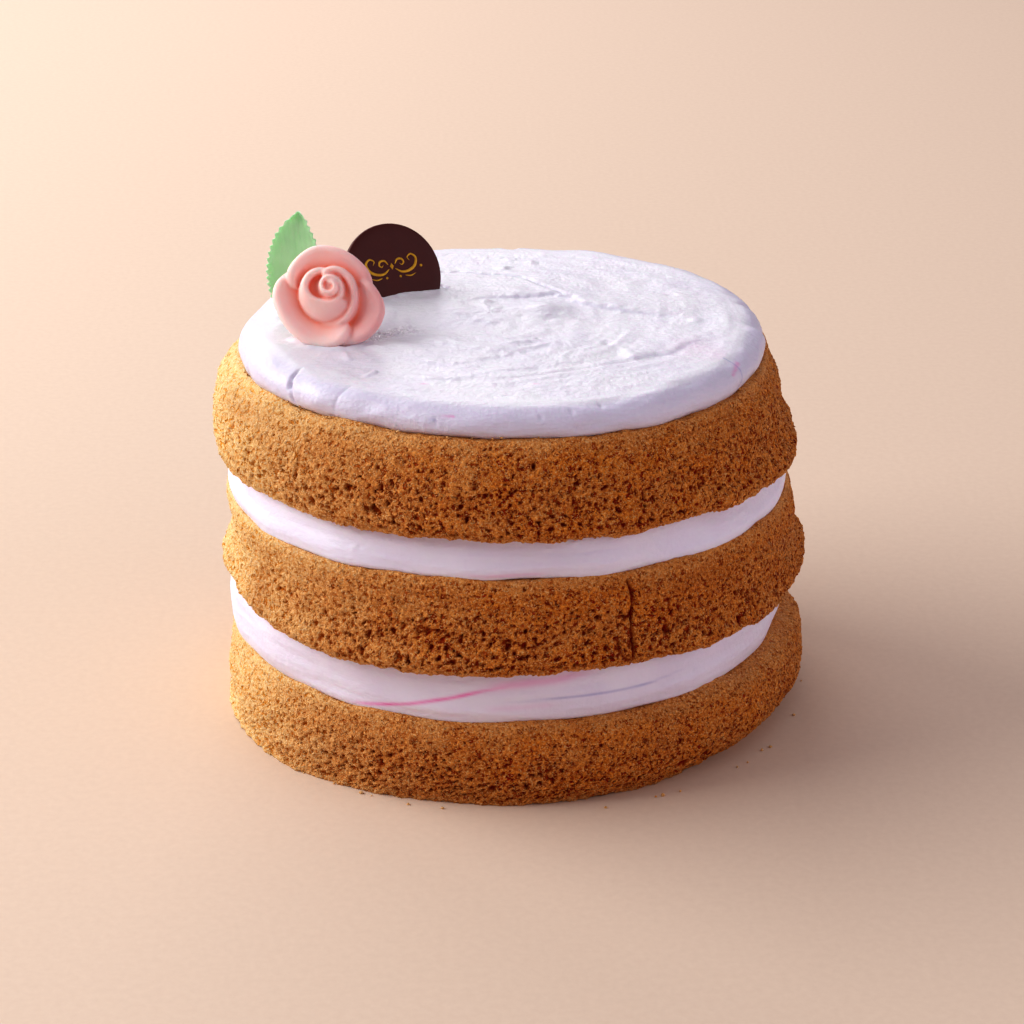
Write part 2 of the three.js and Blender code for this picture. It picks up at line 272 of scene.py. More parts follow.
class Side(Band):
    """A fine grid over a layer's side and the edges of its two flat faces."""

    def __init__(self, node, rows, columns, overlap=0):
        rings = cad_rings(node)
        low, high = rings[0, 0, 2], rings[-1, 0, 2]
        rings[0, :, 2] -= overlap
        rings[-1, :, 2] += overlap
        rings = np.array([drawn_in(rings[0], CAP_REACH), *rings, drawn_in(rings[-1], CAP_REACH)])
        steps = np.linalg.norm(np.diff(rings, axis=0), axis=-1).mean(axis=1)
        along = np.concatenate([[0], np.cumsum(steps)])
        fine = more_points(rings, columns)
        self.points = spline(along, fine, np.linspace(0, along[-1], rows))
        height = self.points[..., 2]
        height[:] = np.clip(height, low - overlap, high + overlap)
        waist = self.points[rows // 2, :, :2]
        radius = np.hypot(*(waist - waist.mean(0)).T).mean()
        angle = np.broadcast_to(np.arange(columns) * 360 / columns, (rows, columns))
        super().__init__(angle, height, radius, (along[-1], 2 * math.pi * radius))
        self.share = (height - low) / (high - low)
        around = np.roll(self.points, -1, axis=1) - np.roll(self.points, 1, axis=1)
        self.normals = unit(np.cross(around, np.gradient(self.points, axis=0)))

    def piece(self, name, relief, values, lowest=-1e9):
        """The side pushed out by its relief, closed by two flat faces."""
        rows, columns = self.shape
        points = self.points + self.normals * relief[..., None]
        points[..., 2] = np.maximum(points[..., 2], lowest)
        flat = points.reshape(-1, 3)
        middles = [points[0].mean(axis=0), points[-1].mean(axis=0)]
        count = rows * columns
        faces = grid_quads(rows, columns, wrap=True)
        faces += fan(count, np.arange(columns)[::-1].tolist())
        faces += fan(count + 1, (count - columns + np.arange(columns)).tolist())
        ends = {key: np.concatenate([np.ravel(number), [0, 0]]) for key, number in values.items()}
        return make_mesh(name, np.vstack([flat, middles]), faces, ends)


# ---- materials

class Look:
    """A material, built node by node. Inputs are numbers, colours, or other nodes' outputs."""

    def __init__(self, name):
        self.material = bpy.data.materials.new(name)
        self.material.use_nodes = True
        self.tree = self.material.node_tree
        self.shader = self.tree.nodes["Principled BSDF"]
        self.place = self.node("ShaderNodeTexCoord").outputs["Object"]

    def node(self, kind, inputs=(), **settings):
        made = self.tree.nodes.new(kind)
        for key, value in settings.items():
            setattr(made, key, value)
        for key, value in dict(inputs).items():
            self.feed(made.inputs[key], value)
        return made

    def feed(self, socket, value):
        if isinstance(value, bpy.types.NodeSocket):
            self.tree.links.new(value, socket)
        elif isinstance(value, tuple) and len(value) == 3 and socket.type == "RGBA":
            socket.default_value = (*value, 1)
        else:
            socket.default_value = value

    def point_values(self, *names):
        return [self.node("ShaderNodeAttribute", attribute_name=name).outputs["Fac"] for name in names]

    def noise(self, size_mm, detail=3, roughness=0.55, stretch=(1, 1, 1), turn=0):
        inputs = {"Vector": self.place, "Scale": stretch, "Rotation": (0, turn, 0)}
        scaled = self.node("ShaderNodeMapping", inputs).outputs[0]
        inputs = {"Vector": scaled, "Scale": 1 / (size_mm * MM), "Detail": detail, "Roughness": roughness}
        return self.node("ShaderNodeTexNoise", inputs).outputs["Fac"]

    def bent(self, size_mm, reach_mm):
        """The place, pushed about by noise, so that what is drawn on it isn't regular."""
        inputs = {"Vector": self.place, "Scale": 1 / (size_mm * MM), "Detail": 1}
        noise = self.node("ShaderNodeTexNoise", inputs).outputs["Color"]
        centred = self.node("ShaderNodeVectorMath", {0: noise, 1: (0.5, 0.5, 0.5)}, operation="SUBTRACT")
        inputs = {0: centred.outputs[0], 1: (reach_mm * MM,) * 3, 2: self.place}
        return self.node("ShaderNodeVectorMath", inputs, operation="MULTIPLY_ADD").outputs[0]

    def walls(self, size_mm, place, thickness):
        """Walls round irregular cells: 1 on a wall, 0 inside a cell."""
        inputs = {"Vector": place, "Scale": 1 / (size_mm * MM)}
        edge = self.node("ShaderNodeTexVoronoi", inputs, feature="DISTANCE_TO_EDGE").outputs["Distance"]
        return self.spread(edge, 0.02, thickness, 1, 0)

    def math(self, operation, first, second):
        return self.node("ShaderNodeMath", {0: first, 1: second}, operation=operation).outputs[0]

    def times(self, first, second):
        return self.math("MULTIPLY", first, second)

    def spread(self, value, low, high, to_low=0, to_high=1):
        inputs = {"Value": value, "From Min": low, "From Max": high, "To Min": to_low, "To Max": to_high}
        return self.node("ShaderNodeMapRange", inputs).outputs["Result"]

    def mix(self, share, first, second):
        mixer = self.node("ShaderNodeMix", data_type="RGBA")
        self.feed(mixer.inputs[0], share)
        self.feed(mixer.inputs[6], first)
        self.feed(mixer.inputs[7], second)
        return mixer.outputs[2]

    def bump(self, height, depth_mm, normal=None):
        inputs = {"Height": height, "Distance": depth_mm * MM, "Strength": 1}
        if normal is not None:
            inputs["Normal"] = normal
        return self.node("ShaderNodeBump", inputs).outputs["Normal"]

    def finish(self, **inputs):
        for key, value in inputs.items():
            self.feed(self.shader.inputs[key.replace("_", " ")], value)
        return self.material


# Colours are linear. The crumb's are pairs: its darker tone, and its paler one, from its bake and, on its lit
# left side, painted light.
# The crumb's colour runs from painted shade in its cells and hollows, CELL_COLOURS, to its walls' golden
# colour, WALL_COLOURS.
CELL_COLOURS = ((0.38, 0.024, 0.0012), (1, 0.42, 0.04))
WALL_COLOURS = ((0.96, 0.35, 0.058), (1, 0.80, 0.44))
# Painted glints on the crumb.
PAINTED_GLINT_COLOURS = ((1, 0.62, 0.28), (1, 0.84, 0.62))
# Painted shade inside the pores, cracks and deep dents.
PORE_COLOURS = ((0.33, 0.008, 0.0005), (0.95, 0.34, 0.02))
STAIN_COLOUR = (0.46, 0.11, 0.018)
# The creams' are pairs too: their usual colour, and a cooler darker one, which noise mixes in a little at
# random and which on the icing's rim is painted shade.
FILLING_COLOURS = ((0.80, 0.755, 0.885), (0.70, 0.64, 0.815))
ICING_COLOURS = ((0.75, 0.717, 0.765), (0.675, 0.625, 0.745))
# The wet patch's painted shade and painted glints.
WET_SHADE_AND_GLINT_COLOURS = ((0.60, 0.55, 0.62), (1, 0.99, 1))
PINK = (0.82, 0.12, 0.46)
# The blue of the cream's streaks, which is also painted shade on the icing's top.
BLUE_AND_SHADE_TINT = (0.22, 0.22, 0.52)


def sponge_look():
    """Baked crumb: a web of golden walls round cells, open at the foot and close at the top, with painted
    shade in its cells and pores, painted glints, and painted light on its lit left side.
    """
    look = Look("sponge_crumb")
    crest, pore_shade, bake_and_painted_light, stain, opened = look.point_values("crest", "pore_shade", "bake_and_painted_light", "stain", "open")
    web = look.walls(1.35, look.bent(1.2, 1.2), 0.36)
    grain = look.spread(look.noise(0.75, 3, 0.72), 0.36, 0.64)
    small = look.spread(look.noise(1.5, 2, 0.6), 0.43, 0.35)
    small = look.times(small, look.spread(opened, 0, 1, 0.35, 1))
    height = look.math("SUBTRACT", look.times(grain, 0.6), look.times(small, 0.7))
    # Painted light and shade: darker down in the cells and hollows, lighter on the walls and crests.
    lit = look.math("ADD", look.times(height, 0.85), look.times(web, 0.38))
    lit = look.math("ADD", lit, look.times(crest, 0.30))
    cell, wall = look.mix(bake_and_painted_light, *CELL_COLOURS), look.mix(bake_and_painted_light, *WALL_COLOURS)
    colour = look.mix(look.spread(lit, 0.05, 0.90), cell, wall)
    # Painted glints: small spots of a paler colour where the crumb's facets would catch the light.
    painted_glint = look.spread(look.noise(0.42, 1, 0.5), 0.55, 0.68)
    colour = look.mix(look.times(painted_glint, 0.75), colour, look.mix(bake_and_painted_light, *PAINTED_GLINT_COLOURS))
    colour = look.mix(look.times(stain, 0.6), colour, STAIN_COLOUR)
    # Painted shade in the pores, cracks and deep dents.
    colour = look.mix(pore_shade, colour, look.mix(bake_and_painted_light, *PORE_COLOURS))
    normal = look.bump(look.times(height, look.spread(bake_and_painted_light, 0.1, 0.9, 1, 0.5)), 0.9)
    return look.finish(Base_Color=colour, Roughness=0.40, Normal=normal, Specular_IOR_Level=0.1)


def cream_look(name, colours, roughness, gloss, strokes):
    """Whipped cream with a fine skin and faint pink and blue colouring where it was drawn through. The blue
    also carries painted shade under the icing's steps and in its creases, the darker colour is painted shade
    on the icing's rim, and the wet patch has painted glints and shade.

    strokes stretches the spatula's marks: the smaller one of its numbers, the longer they are that way.
    """
    look = Look(name)
    pink, blue_and_painted_shade, wet, edge = look.point_values("pink", "blue_and_painted_shade", "wet", "edge")
    clouded = look.spread(look.noise(14, 3, 0.5), 0.35, 0.65, 0, 0.35)
    # On the icing's rim, where edge is 1, the darker colour is painted shade.
    tint = look.mix(look.math("MAXIMUM", clouded, edge), *colours)
    tint = look.mix(pink, tint, PINK)
    tint = look.mix(blue_and_painted_shade, tint, BLUE_AND_SHADE_TINT)
    skin = look.bump(look.noise(1.4, 4, 0.65), 0.18)
    skin = look.bump(look.noise(3, 3, 0.55, strokes), 0.45, skin)
    streaks = look.noise(1.8, 3, 0.65, (1.6, 0.8, 1))
    wet = look.times(wet, look.spread(look.noise(3, 2, 0.5), 0.36, 0.54))
    # Painted glints and painted shade in streaks over the wet patch.
    wet_glints_and_shade = look.mix(look.spread(streaks, 0.40, 0.58), *WET_SHADE_AND_GLINT_COLOURS)
    tint = look.mix(look.times(wet, 0.5), tint, wet_glints_and_shade)
    skin = look.bump(look.times(wet, streaks), 0.6, skin)
    rough = look.math("SUBTRACT", roughness, look.times(wet, roughness * 0.7))
    look.finish(Base_Color=tint, Roughness=rough, Normal=skin, Subsurface_Weight=0.35)
    look.finish(Subsurface_Radius=(1, 0.62, 0.85), Subsurface_Scale=0.0016, Coat_Weight=gloss)
    return look.finish(Coat_Roughness=0.3)


# ---- sponges

SPONGE_GRID = (80, 1150)  # rows up and columns round
GRAIN = (1.4, 0.08)  # the crumb's grain, as (wavelength, height)
# The web of walls round its cells, as [wavelength, height at the top, height at the foot].
WEBS = [(2.8, 0.14, 0.26), (4.6, 0.05, 0.20)]
WALL = 0.55  # how much of the web is wall
# Pores are [wavelength, threshold at the foot, threshold at the top, depth]: a higher threshold is rarer.
PORES = [(2.2, 1.30, 2.2, 0.5), (3, 1.55, 2.7, 0.8), (4.4, 2.15, 3.5, 1.1)]
PORE_SLOPE = 0.45  # how far above the threshold a pore is fully deep
UNEVEN = [(4.5, 0.07), (10, 0.09), (32, 0.22)]  # [wavelength, height]
# Sides made paler, as [angle, half width, how much]. The first is painted light on the key-lit left side; the
# second makes the crumb a little paler towards +X.
PALE_SIDES = [(183, 48, 0.97), (-6, 42, 0.05)]
EDGE_WAVE = 0.22  # how far the edges of a sponge rise and fall
# A dent deeper than DARK_DENT gets painted shade inside it.
DARK_DENT = 1  # a dent deeper than this is dark inside

# Marks are places on the side. Cracks are [path, width, depth], dents are [angle, height, wide, tall, depth],
# and stains are [angle, height, wide, tall, strength].
SPONGES = {
    "sponge_top": {
        "seed": 11,
        "cracks": [([(-132.2, 93), (-131.6, 87), (-132.4, 80), (-131.8, 78)], 0.5, 0.4)],
        "dents": [(-83.7, 93.3, 0.5, 1, 2.2), (-128, 79, 1.1, 1.3, 1.3), (-52, 75, 6, 3, 0.8)],
        "stains": [(-38.9, 95.5, 3, 2, 0.8), (-152, 93, 14, 4, 0.5)],
    },
    "sponge_middle": {
        "seed": 23,
        "cracks": [
            ([(-67.4, 63), (-67.1, 58), (-67.4, 52), (-67.1, 46), (-67.3, 38)], 0.38, 1.3),
            ([(-70.9, 52.4), (-69.2, 52), (-67.6, 51.6)], 0.4, 0.9),
            ([(-70, 47), (-69.6, 43), (-68.4, 40)], 0.5, 0.7),
            ([(-107.5, 49), (-104.5, 50.2), (-101.5, 50)], 0.4, 0.7),
        ],
        "dents": [(-90.5, 48.2, 0.9, 0.5, 1.2), (-60, 46.8, 0.9, 1.3, 1.3), (-42.5, 42.7, 0.9, 1.5, 1.2)],
        "stains": [(-145.7, 46, 7, 7, 0.7), (-141.8, 36, 6, 5, 0.6), (-50, 58, 16, 3, 0.5)],
    },
    "sponge_bottom": {
        "seed": 37,
        "cracks": [([(-22, 3), (-20.5, 7), (-18.5, 12)], 0.9, 1)],
        "dents": [(-93.2, 5.1, 1.2, 1.1, 1.8), (-54.3, 5.6, 2.4, 1, 1.3), (-49, 3.6, 2.4, 1, 1.2)],
        "stains": [(-19, 9, 3, 5, 0.6)],
    },
}


def crumb_web(side, seed, inside, opened, fine):
    """The grain and the web of cell walls: their relief, and how high in them each point is, which sets the
    crumb's painted light and shade.
    """
    relief = GRAIN[1] * fine * (0.4 + 0.6 * inside)
    crest = 0.45 + 0.14 * fine
    for step, (wavelength, top, foot) in enumerate(WEBS):
        wall = bell(side.noise(wavelength, seed + 20 + step, 0.25) / WALL) - 0.5
        relief += (top + (foot - top) * opened) * wall * inside
        crest += (0.15 + 0.30 * opened) * wall
    return relief, crest


def cut_pores(relief, side, seed, inside, fine):
    """Cuts the pores into the relief, and returns how far inside one each point is, for the painted shade in
    them.
    """
    cluster = 0.06 * side.noise(16, seed + 2)
    pore_shade = np.zeros(side.shape)
    for step, (wavelength, foot, top, depth) in enumerate(PORES):
        rarity = foot + (top - foot) * smoothstep(0.35, 0.95, side.share) + cluster
        shape = side.noise(wavelength, seed + 3 + step, 0.3) + 0.3 * fine
        hole = smoothstep(rarity, rarity + PORE_SLOPE, shape) * inside
        relief -= depth * hole
        pore_shade = np.maximum(pore_shade, hole * min(1, 0.45 + depth))
    return pore_shade


def cut_marks(relief, pore_shade, side, marks):
    """Cuts the cracks and dents into the relief, and returns the pores' painted shade with theirs added."""
    for path, width, depth in marks["cracks"]:
        wander = 1 + 0.15 * np.abs(side.noise(3, marks["seed"] + 11))
        gap = side.line(path, width * wander, 0.1)
        relief -= depth * gap
        pore_shade = np.maximum(pore_shade, smoothstep(0.35, 0.9, gap) * min(1, depth))
    for *place_and_size, depth in marks["dents"]:
        hollow = side.spot(*place_and_size)
        relief -= depth * hollow
        if depth > DARK_DENT:
            pore_shade = np.maximum(pore_shade, smoothstep(0.3, 0.8, hollow))
    return pore_shade


def pale_bake_and_painted_light(side, seed, foot):
    """How pale each point is: paler at the top edge and the foot, as baked, and on the pale sides, the left
    one of which is painted light.
    """
    bake_and_painted_light = 0.03 + 0.16 * smoothstep(0.82, 0.98, side.share) + 0.16 * foot + 0.03 * side.noise(16, seed + 13)
    for angle, half_width, paler in PALE_SIDES:
        bake_and_painted_light += paler * bell(turn_between(side.angle, angle) / half_width)
    return bake_and_painted_light


def crumb(side, marks):
    """The sponge's relief and the point values for its material."""
    seed = marks["seed"]
    share = side.share
    inside = smoothstep(0, 0.08, share) * smoothstep(1, 0.93, share)
    opened = (0.5 + 0.5 * smoothstep(0.93, 0.50, share)) * inside
    fine = side.noise(GRAIN[0], seed, 0.3)
    relief, crest = crumb_web(side, seed, inside, opened, fine)
    pore_shade = cut_pores(relief, side, seed, inside, fine)
    relief += side.waves(UNEVEN, seed + 8)
    pore_shade = cut_marks(relief, pore_shade, side, marks)
    foot = smoothstep(0.10, 0, share)
    relief += foot * (0.12 * side.noise(6, seed + 12) + 0.08 * fine)
    # The crumb's paleness: its bake's tone, with painted light on the lit left side.
    bake_and_painted_light = pale_bake_and_painted_light(side, seed, foot)
    stain = np.max([strength * side.spot(*spot) for *spot, strength in marks["stains"]], axis=0)
    stain *= 0.75 + 0.25 * side.noise(2.5, seed + 14)
    wave = EDGE_WAVE * side.noise(24, seed + 15)
    side.points[..., 2] += wave * (smoothstep(0.25, 0, share) + smoothstep(0.8, 1, share))
    values = {"crest": crest, "pore_shade": pore_shade, "bake_and_painted_light": bake_and_painted_light, "stain": stain, "open": opened}
    return relief, {key: np.clip(number, 0, 1) for key, number in values.items()}


def make_sponges():
    look = sponge_look()
    for node, marks in SPONGES.items():
        side = Side(node, *SPONGE_GRID)
        relief, values = crumb(side, marks)
        piece = side.piece(node + "_crumb", relief, values, lowest=0)
        place(piece, look, "sponge", node)
    place(make_crumbs(), look, "sponge")


# ---- cream fillings

FILLING_GRID = (40, 800)
FILLING_OVERLAP = 0.5  # hides the uneven crumb's edge above and below
FILLING_WAVES = [(30, 0.18), ((5, 40), 0.05), ((2.4, 50), 0.04), (1.8, 0.02)]  # [wavelength, height]
# Lines drawn through the cream are [path, half width, strength]; bumps are [angle, height, wide, tall, rise].
FILLINGS = {
    "filling_upper": {
        "seed": 51,
        "tints": {"pink": [([(-100, 65), (-90, 64.6), (-80, 64.8)], 0.5, 0.25)], "blue_and_painted_shade": []},
        "bumps": [(-120, 67.7, 0.9, 0.5, 0.35), (-76.8, 72.3, 0.6, 0.5, 0.5), (-118.6, 68.4, 0.3, 0.3, -0.5)],
    },
    "filling_lower": {
        "seed": 61,
        "tints": {
            "pink": [
                ([(-125, 23.8), (-110.7, 26.9), (-102.5, 29.8), (-92.8, 33.2), (-84, 34.6)], 0.5, 0.85),
                ([(-98, 31.8), (-90, 34.2), (-80, 35.6), (-70, 37.4)], 1.3, 0.35),
                ([(-96, 27.6), (-87, 28), (-78, 28.6)], 1, 0.12),
            ],
            "blue_and_painted_shade": [([(-92, 29.6), (-83, 30), (-71, 30.3), (-63, 30.1), (-50, 32)], 0.28, 0.5)],
        },
        "bumps": [(-62.2, 29.3, 1.4, 0.5, 0.35), (-50, 29.8, 0.25, 0.25, -0.5)],
    },
}


def cream_band(side, marks):
    """A filling's soft waves, smeared lines and small marks."""
    seed = marks["seed"]
    relief = side.waves(FILLING_WAVES, seed)
    speck = side.noise(1.5, seed + 4)
    relief -= 0.3 * smoothstep(3.3, 3.9, speck)
    for *place_and_size, rise in marks["bumps"]:
        relief += rise * side.spot(*place_and_size)
    broken = 0.85 + 0.12 * side.noise((6, 12), seed + 5)
    nothing = np.zeros(side.shape)
    return relief, {**side.tints(marks["tints"], 0.3, broken), "wet": nothing, "edge": nothing}


def make_fillings():
    look = cream_look("cream_filling", FILLING_COLOURS, 0.5, 0.05, (0.3, 0.3, 1))
    for node, marks in FILLINGS.items():
        side = Side(node, *FILLING_GRID, overlap=FILLING_OVERLAP)
        relief, values = cream_band(side, marks)
        place(side.piece(node + "_cream", relief, values), look, "cream", node)


# ---- icing

ICING_CENTRE = (-1.9, -1)
ICING_HEIGHT = 106
ICING_CELLS = 264  # cells across the top, on a square grid bent into a disc
RIM_ROWS = 20
TOP_LEVEL_FROM = 0.94  # the top's relief fades out from this share of its radius
# The rim's section from the edge of the top out and down to the foot: [radius, height].
RIM_SECTION = [(62.8, 106), (65.8, 105.3), (68.2, 103.7), (69.3, 101.5), (69.1, 99.3), (68, 97.9)]
RIM_LOBES = [(3, 0.7, -50), (4, 0.5, 27)]  # [count, swell, crest in degrees]
# Low mounds and dips that the spatula left: [x, y, reach, height], as in the CAD.
MOUNDS = [
    (0, 29, 22, 0.9), (-30, 14, 12, 0.8), (-52, -28, 14, 0.9), (30, -18, 26, -0.5),
    (-10, -30, 18, 0.4), (48, 22, 16, 0.5), (0, 66, 34, -1.2),
]
LONG_STROKES = [(46, 0.25, 78), (27, 0.18, 96)]  # [wavelength, height, direction in degrees]
SWEEP_CENTRE = (-6, 4)  # the spatula went round this place
SWEEP_SIZE = (128, 300)  # the size of the streaks' noise, outwards and round
SWEEP_CELL = 0.5  # the size of its cells
SWEEP_STREAK = 45  # how long the streaks are
SWEPT_STREAKS = [(2.8, 0.03, 81), (5, 0.09, 83)]  # in the swept part of the top: [wavelength, height, seed]
WIDE_STREAKS = (8, 0.05, 82)  # all over it
TOP_SIZE, TOP_CELLS = 150, 512  # the size of the top's own noise, and how many cells it has each way
TOP_WAVES = (1.7, 4.5, 11, 30)  # its wavelengths: grainy, lumpy, soft and patchy
TOP_SEED, RIM_SEED = 70, 91
# Edges where one stroke ends on another: [path, step, blend width]. The left of the path is higher.
STEPS = [
    ([(-16.8, 8.3), (-13.3, 12.1), (-9, 15.1), (-3.1, 16.4), (7.1, 18.1), (11.5, 19.3), (15.1, 17.1),
      (17.6, 12.5), (22.2, 9.5), (29.3, 6.5), (37.1, 3.3), (48, 0.5)], 0.75, 0.6),
    ([(22.2, -16.2), (24.9, -19), (28.2, -24.3), (31.1, -30.2), (33.6, -28.5), (37.2, -26.5), (41.4, -24.9),
      (45.9, -19.2), (51.8, -13.9), (57, -12.5)], 0.5, 0.7),
    ([(-54.6, -35.7), (-48, -47.7), (-40.9, -53.3), (-33.7, -59)], 0.5, 1),
    ([(-32.3, -21.7), (-26.5, -30.1), (-18.7, -37.3), (-9.9, -35.4), (-1.6, -30.3), (5.3, -24.1), (12.3, -20),
      (19.4, -17.9)], 0.35, 0.6),
    ([(-27.7, -13.2), (-20.5, -19.7), (-12.8, -24), (-5.1, -27.2), (2.5, -22), (8.1, -18.9)], 0.3, 0.6),
    ([(-12.2, -13.3), (-5.1, -18.7), (-0.2, -20.9), (5.4, -18.2), (11, -16.8)], 0.3, 0.6),
    ([(-28.8, -44.3), (-18.5, -48.3), (-8.4, -44.4), (2.5, -40.5), (12.1, -35.5), (22.5, -32.6), (31, -36)],
     0.25, 0.8),
    ([(-19.7, 6.5), (-16, 4.2), (-7.4, -2.5), (0, -4.5)], 0.3, 0.6),
]
PATH_WANDER = 0.25  # how far the edges and ridges stray from their paths
STEP_DEPTH = 1.35  # how much deeper the edges are cut than their steps say
STEP_SOFTNESS = 0.6  # added to each blend width
STEP_REACH = 6  # a step's raised side falls back to level over this distance
STEP_FADE, CREASE_FADE = 0.3, 0.15  # how much of a path its ends fade over
# Painted shade, in the blue tint, under a step and in a crease.
STEP_SHADE, CREASE_SHADE = 0.16, 0.35  # how much bluer it is under a step or in a crease, for each mm
# Ridges are [path, height, half width]. A negative height is a crease.
RIDGES = [
    ([(-18.9, 40.4), (-14.4, 41.1), (-7.7, 38.6), (-1.7, 37.1), (2.8, 34.2), (6.4, 29.9), (10.1, 24.6),
      (13, 20.9), (16.5, 16.4)], -0.45, 0.7),
    ([(-42.1, 10.9), (-20, 22.1)], 0.5, 2),
    ([(-57, -19), (-51, -25.5), (-43.5, -26), (-37, -21)], 0.6, 1.3),
    ([(12.4, -30.1), (17.2, -23.7), (21.6, -22.1)], 0.2, 0.9),
    ([(-44.2, -25.8), (-41, -34)], 0.3, 0.9),
    ([(-37.4, -45.5), (-34.5, -42.1)], 0.4, 0.7),
    ([(-63.8, 6.3), (-61.8, 1.2)], 1.6, 2),
    ([(-19, 26.4), (-17, 24.6)], -0.9, 0.7),
]
# Lumps, bubbles and pulled-up peaks on the top: [x, y, reach along X, reach along Y, height].
LUMPS = [
    (8.8, 5.1, 5.4, 4.4, 1.5), (-7.1, 12.5, 1, 1.2, 0.6), (-2.1, 43.9, 1.5, 1.8, 0.8),
    (5.1, 49.3, 1.5, 1.6, 0.6), (31.1, -30.8, 0.8, 1.3, 0.5), (33, -29.4, 2, 1.2, 0.4),
    (25, -18.4, 1.4, 1.6, -0.5), (43, 19, 1.2, 1.2, -0.35), (49, -1.9, 1.8, 1.6, 0.4),
    (6.7, -15.6, 0.6, 0.6, -0.5), (58, -2, 4, 6, 0.5), (-47, -26, 9, 5, -0.9),
]
# The glinting wrinkled patch beside the rose, with painted shade and painted glints in its colour: its middle
# line and half width.
WET_PATH = [(-36.8, -16.5), (-32.6, -12.5), (-27.8, -9.4), (-23, -6)]
WET_WIDTH = 6
RIM_WAVES = [((18, 26), 0.16), ((6, 12), 0.06), ((1.6, 9), 0.03), (1.8, 0.02)]  # [wavelength, height]
# Marks on the rim, as [angle, height, wide, tall, rise].
RIM_MARKS = [
    (-104.2, 102, 0.5, 0.3, -0.6), (-141.3, 103, 0.6, 0.8, -1), (-82.5, 103.6, 0.6, 0.35, -0.5),
    (-75.9, 104.3, 0.5, 0.35, -0.4), (-69.1, 105, 0.5, 0.35, -0.4), (-75.5, 101.1, 0.6, 0.4, -0.4),
    (-106.8, 100.2, 0.6, 1.2, 0.2),
    (-132.1, 102.3, 5.5, 3.2, 1.1), (-150, 102, 8, 4, 0.7), (-171, 102, 9, 4, 0.5), (-6, 103.5, 3, 2.5, 0.9),
    (-60, 101, 12, 4, 0.35), (-95, 101, 10, 4, 0.3), (25, 102, 12, 4, 0.5), (70, 101, 14, 4, 0.4),
    (110, 102, 10, 4, 0.5), (150, 102, 9, 4, 0.5),
]
# Creases on the rim, as [path of (angle, height), half width, depth].
RIM_CREASES = [
    ([(-143, 106), (-142, 104.4), (-140.4, 102.2), (-139.4, 99.4)], 0.4, 0.8),
    ([(-126.8, 105.6), (-127.3, 103.7), (-127.6, 101)], 0.5, 0.2),
    ([(-163, 104.8), (-160, 102), (-159, 99)], 1.4, 0.7),
    ([(12, 105), (10, 101)], 1.5, 0.6),
    ([(88, 105.5), (93, 101), (94, 98.5)], 1.2, 0.8),
    ([(129, 105), (132, 100)], 1.4, 0.7),
]
# Lines of colour on the rim, as [path, half width, strength].
RIM_TINTS = {
    "pink": [([(-26, 104.4), (-29.3, 104), (-32.4, 103.4)], 0.35, 0.4),
             ([(-103.4, 103.1), (-101.9, 103.2), (-100.4, 103.3)], 0.18, 0.5)],
    "blue_and_painted_shade": [([(-27.6, 105.5), (-28.4, 103), (-29, 101), (-31.8, 98.9)], 0.28, 0.45),
             ([(-105.8, 102), (-105, 102.1), (-104.2, 102.1)], 0.22, 0.6)],
}
# Pink patches on the top, as [x, y, reach along X, reach along Y, strength].
TOP_PINKS = [(48, -22, 6, 7, 0.09), (53, -28, 3, 6, 0.09), (-22, -51, 0.8, 0.3, 0.5), (6, -51, 0.9, 0.3, 0.4)]


def bent_square(cells):
    """A square grid bent into a unit disc: radius and angle of each point."""
    line = np.linspace(-1, 1, cells + 1)
    u, v = np.meshgrid(line, line)
    wide = np.abs(u) > np.abs(v)
    signed = np.where(wide, u, v)
    other = np.where(wide, v, u)
    turn = np.divide(other, signed, out=np.zeros_like(u), where=signed != 0) * math.pi / 4
    angle = np.where(wide, turn, math.pi / 2 - turn)
    return np.abs(signed), np.where(signed < 0, angle + math.pi, angle)


def square_rim(cells):
    """The grid's outermost points in order, counter-clockwise from its lowest corner."""
    side = np.arange(cells)
    last = cells * (cells + 1)
    right = side * (cells + 1) + cells
    return np.concatenate([side, right, last + cells - side, last - side * (cells + 1)])


def lobes(angle):
    return sum(size * np.cos(count * (angle - math.radians(crest))) for count, size, crest in RIM_LOBES)


def round_icing(reach, angle):
    return ICING_CENTRE[0] + reach * np.cos(angle), ICING_CENTRE[1] + reach * np.sin(angle)


def cad_height(x, y):
    height = np.full(x.shape, float(ICING_HEIGHT))
    for mx, my, reach, rise in MOUNDS:
        height += rise * bell((x - mx) / reach, (y - my) / reach)
    for length, rise, direction in LONG_STROKES:
        along = x * math.cos(math.radians(direction)) + y * math.sin(math.radians(direction))
        height += rise * np.sin(2 * math.pi * along / length)
    return height


def streaks(x, y, wavelength, height, seed):
    """Long low ridges that follow the spatula's path round the sweep's centre."""
    rows, columns = (int(size / SWEEP_CELL) for size in SWEEP_SIZE)
    field = wave_noise((rows, columns), SWEEP_SIZE, (wavelength, SWEEP_STREAK), seed)
    dx, dy = x - SWEEP_CENTRE[0], y - SWEEP_CENTRE[1]
    wobble = 2.5 * np.sin(x / 15) + 2 * np.sin(y / 11 + 1)
    across = (np.hypot(dx, dy) + wobble) % SWEEP_SIZE[0] / SWEEP_CELL
    along = (np.arctan2(dy, dx) / (2 * math.pi) % 1) * columns
    row, column = np.floor(across).astype(int), np.floor(along).astype(int)
    row_part, column_part = across - row, along - column
    first, second = column % columns, (column + 1) % columns
    low, high = (
        field[line % rows, first] * (1 - column_part) + field[line % rows, second] * column_part
        for line in (row, row + 1)
    )
    return height * (low * (1 - row_part) + high * row_part)


def wet_patch(x, y):
    distance, share, _ = nearest_on_path(x, y, WET_PATH)
    return smoothstep(WET_WIDTH, WET_WIDTH * 0.15, distance) * smoothstep(1, 0.55, share)


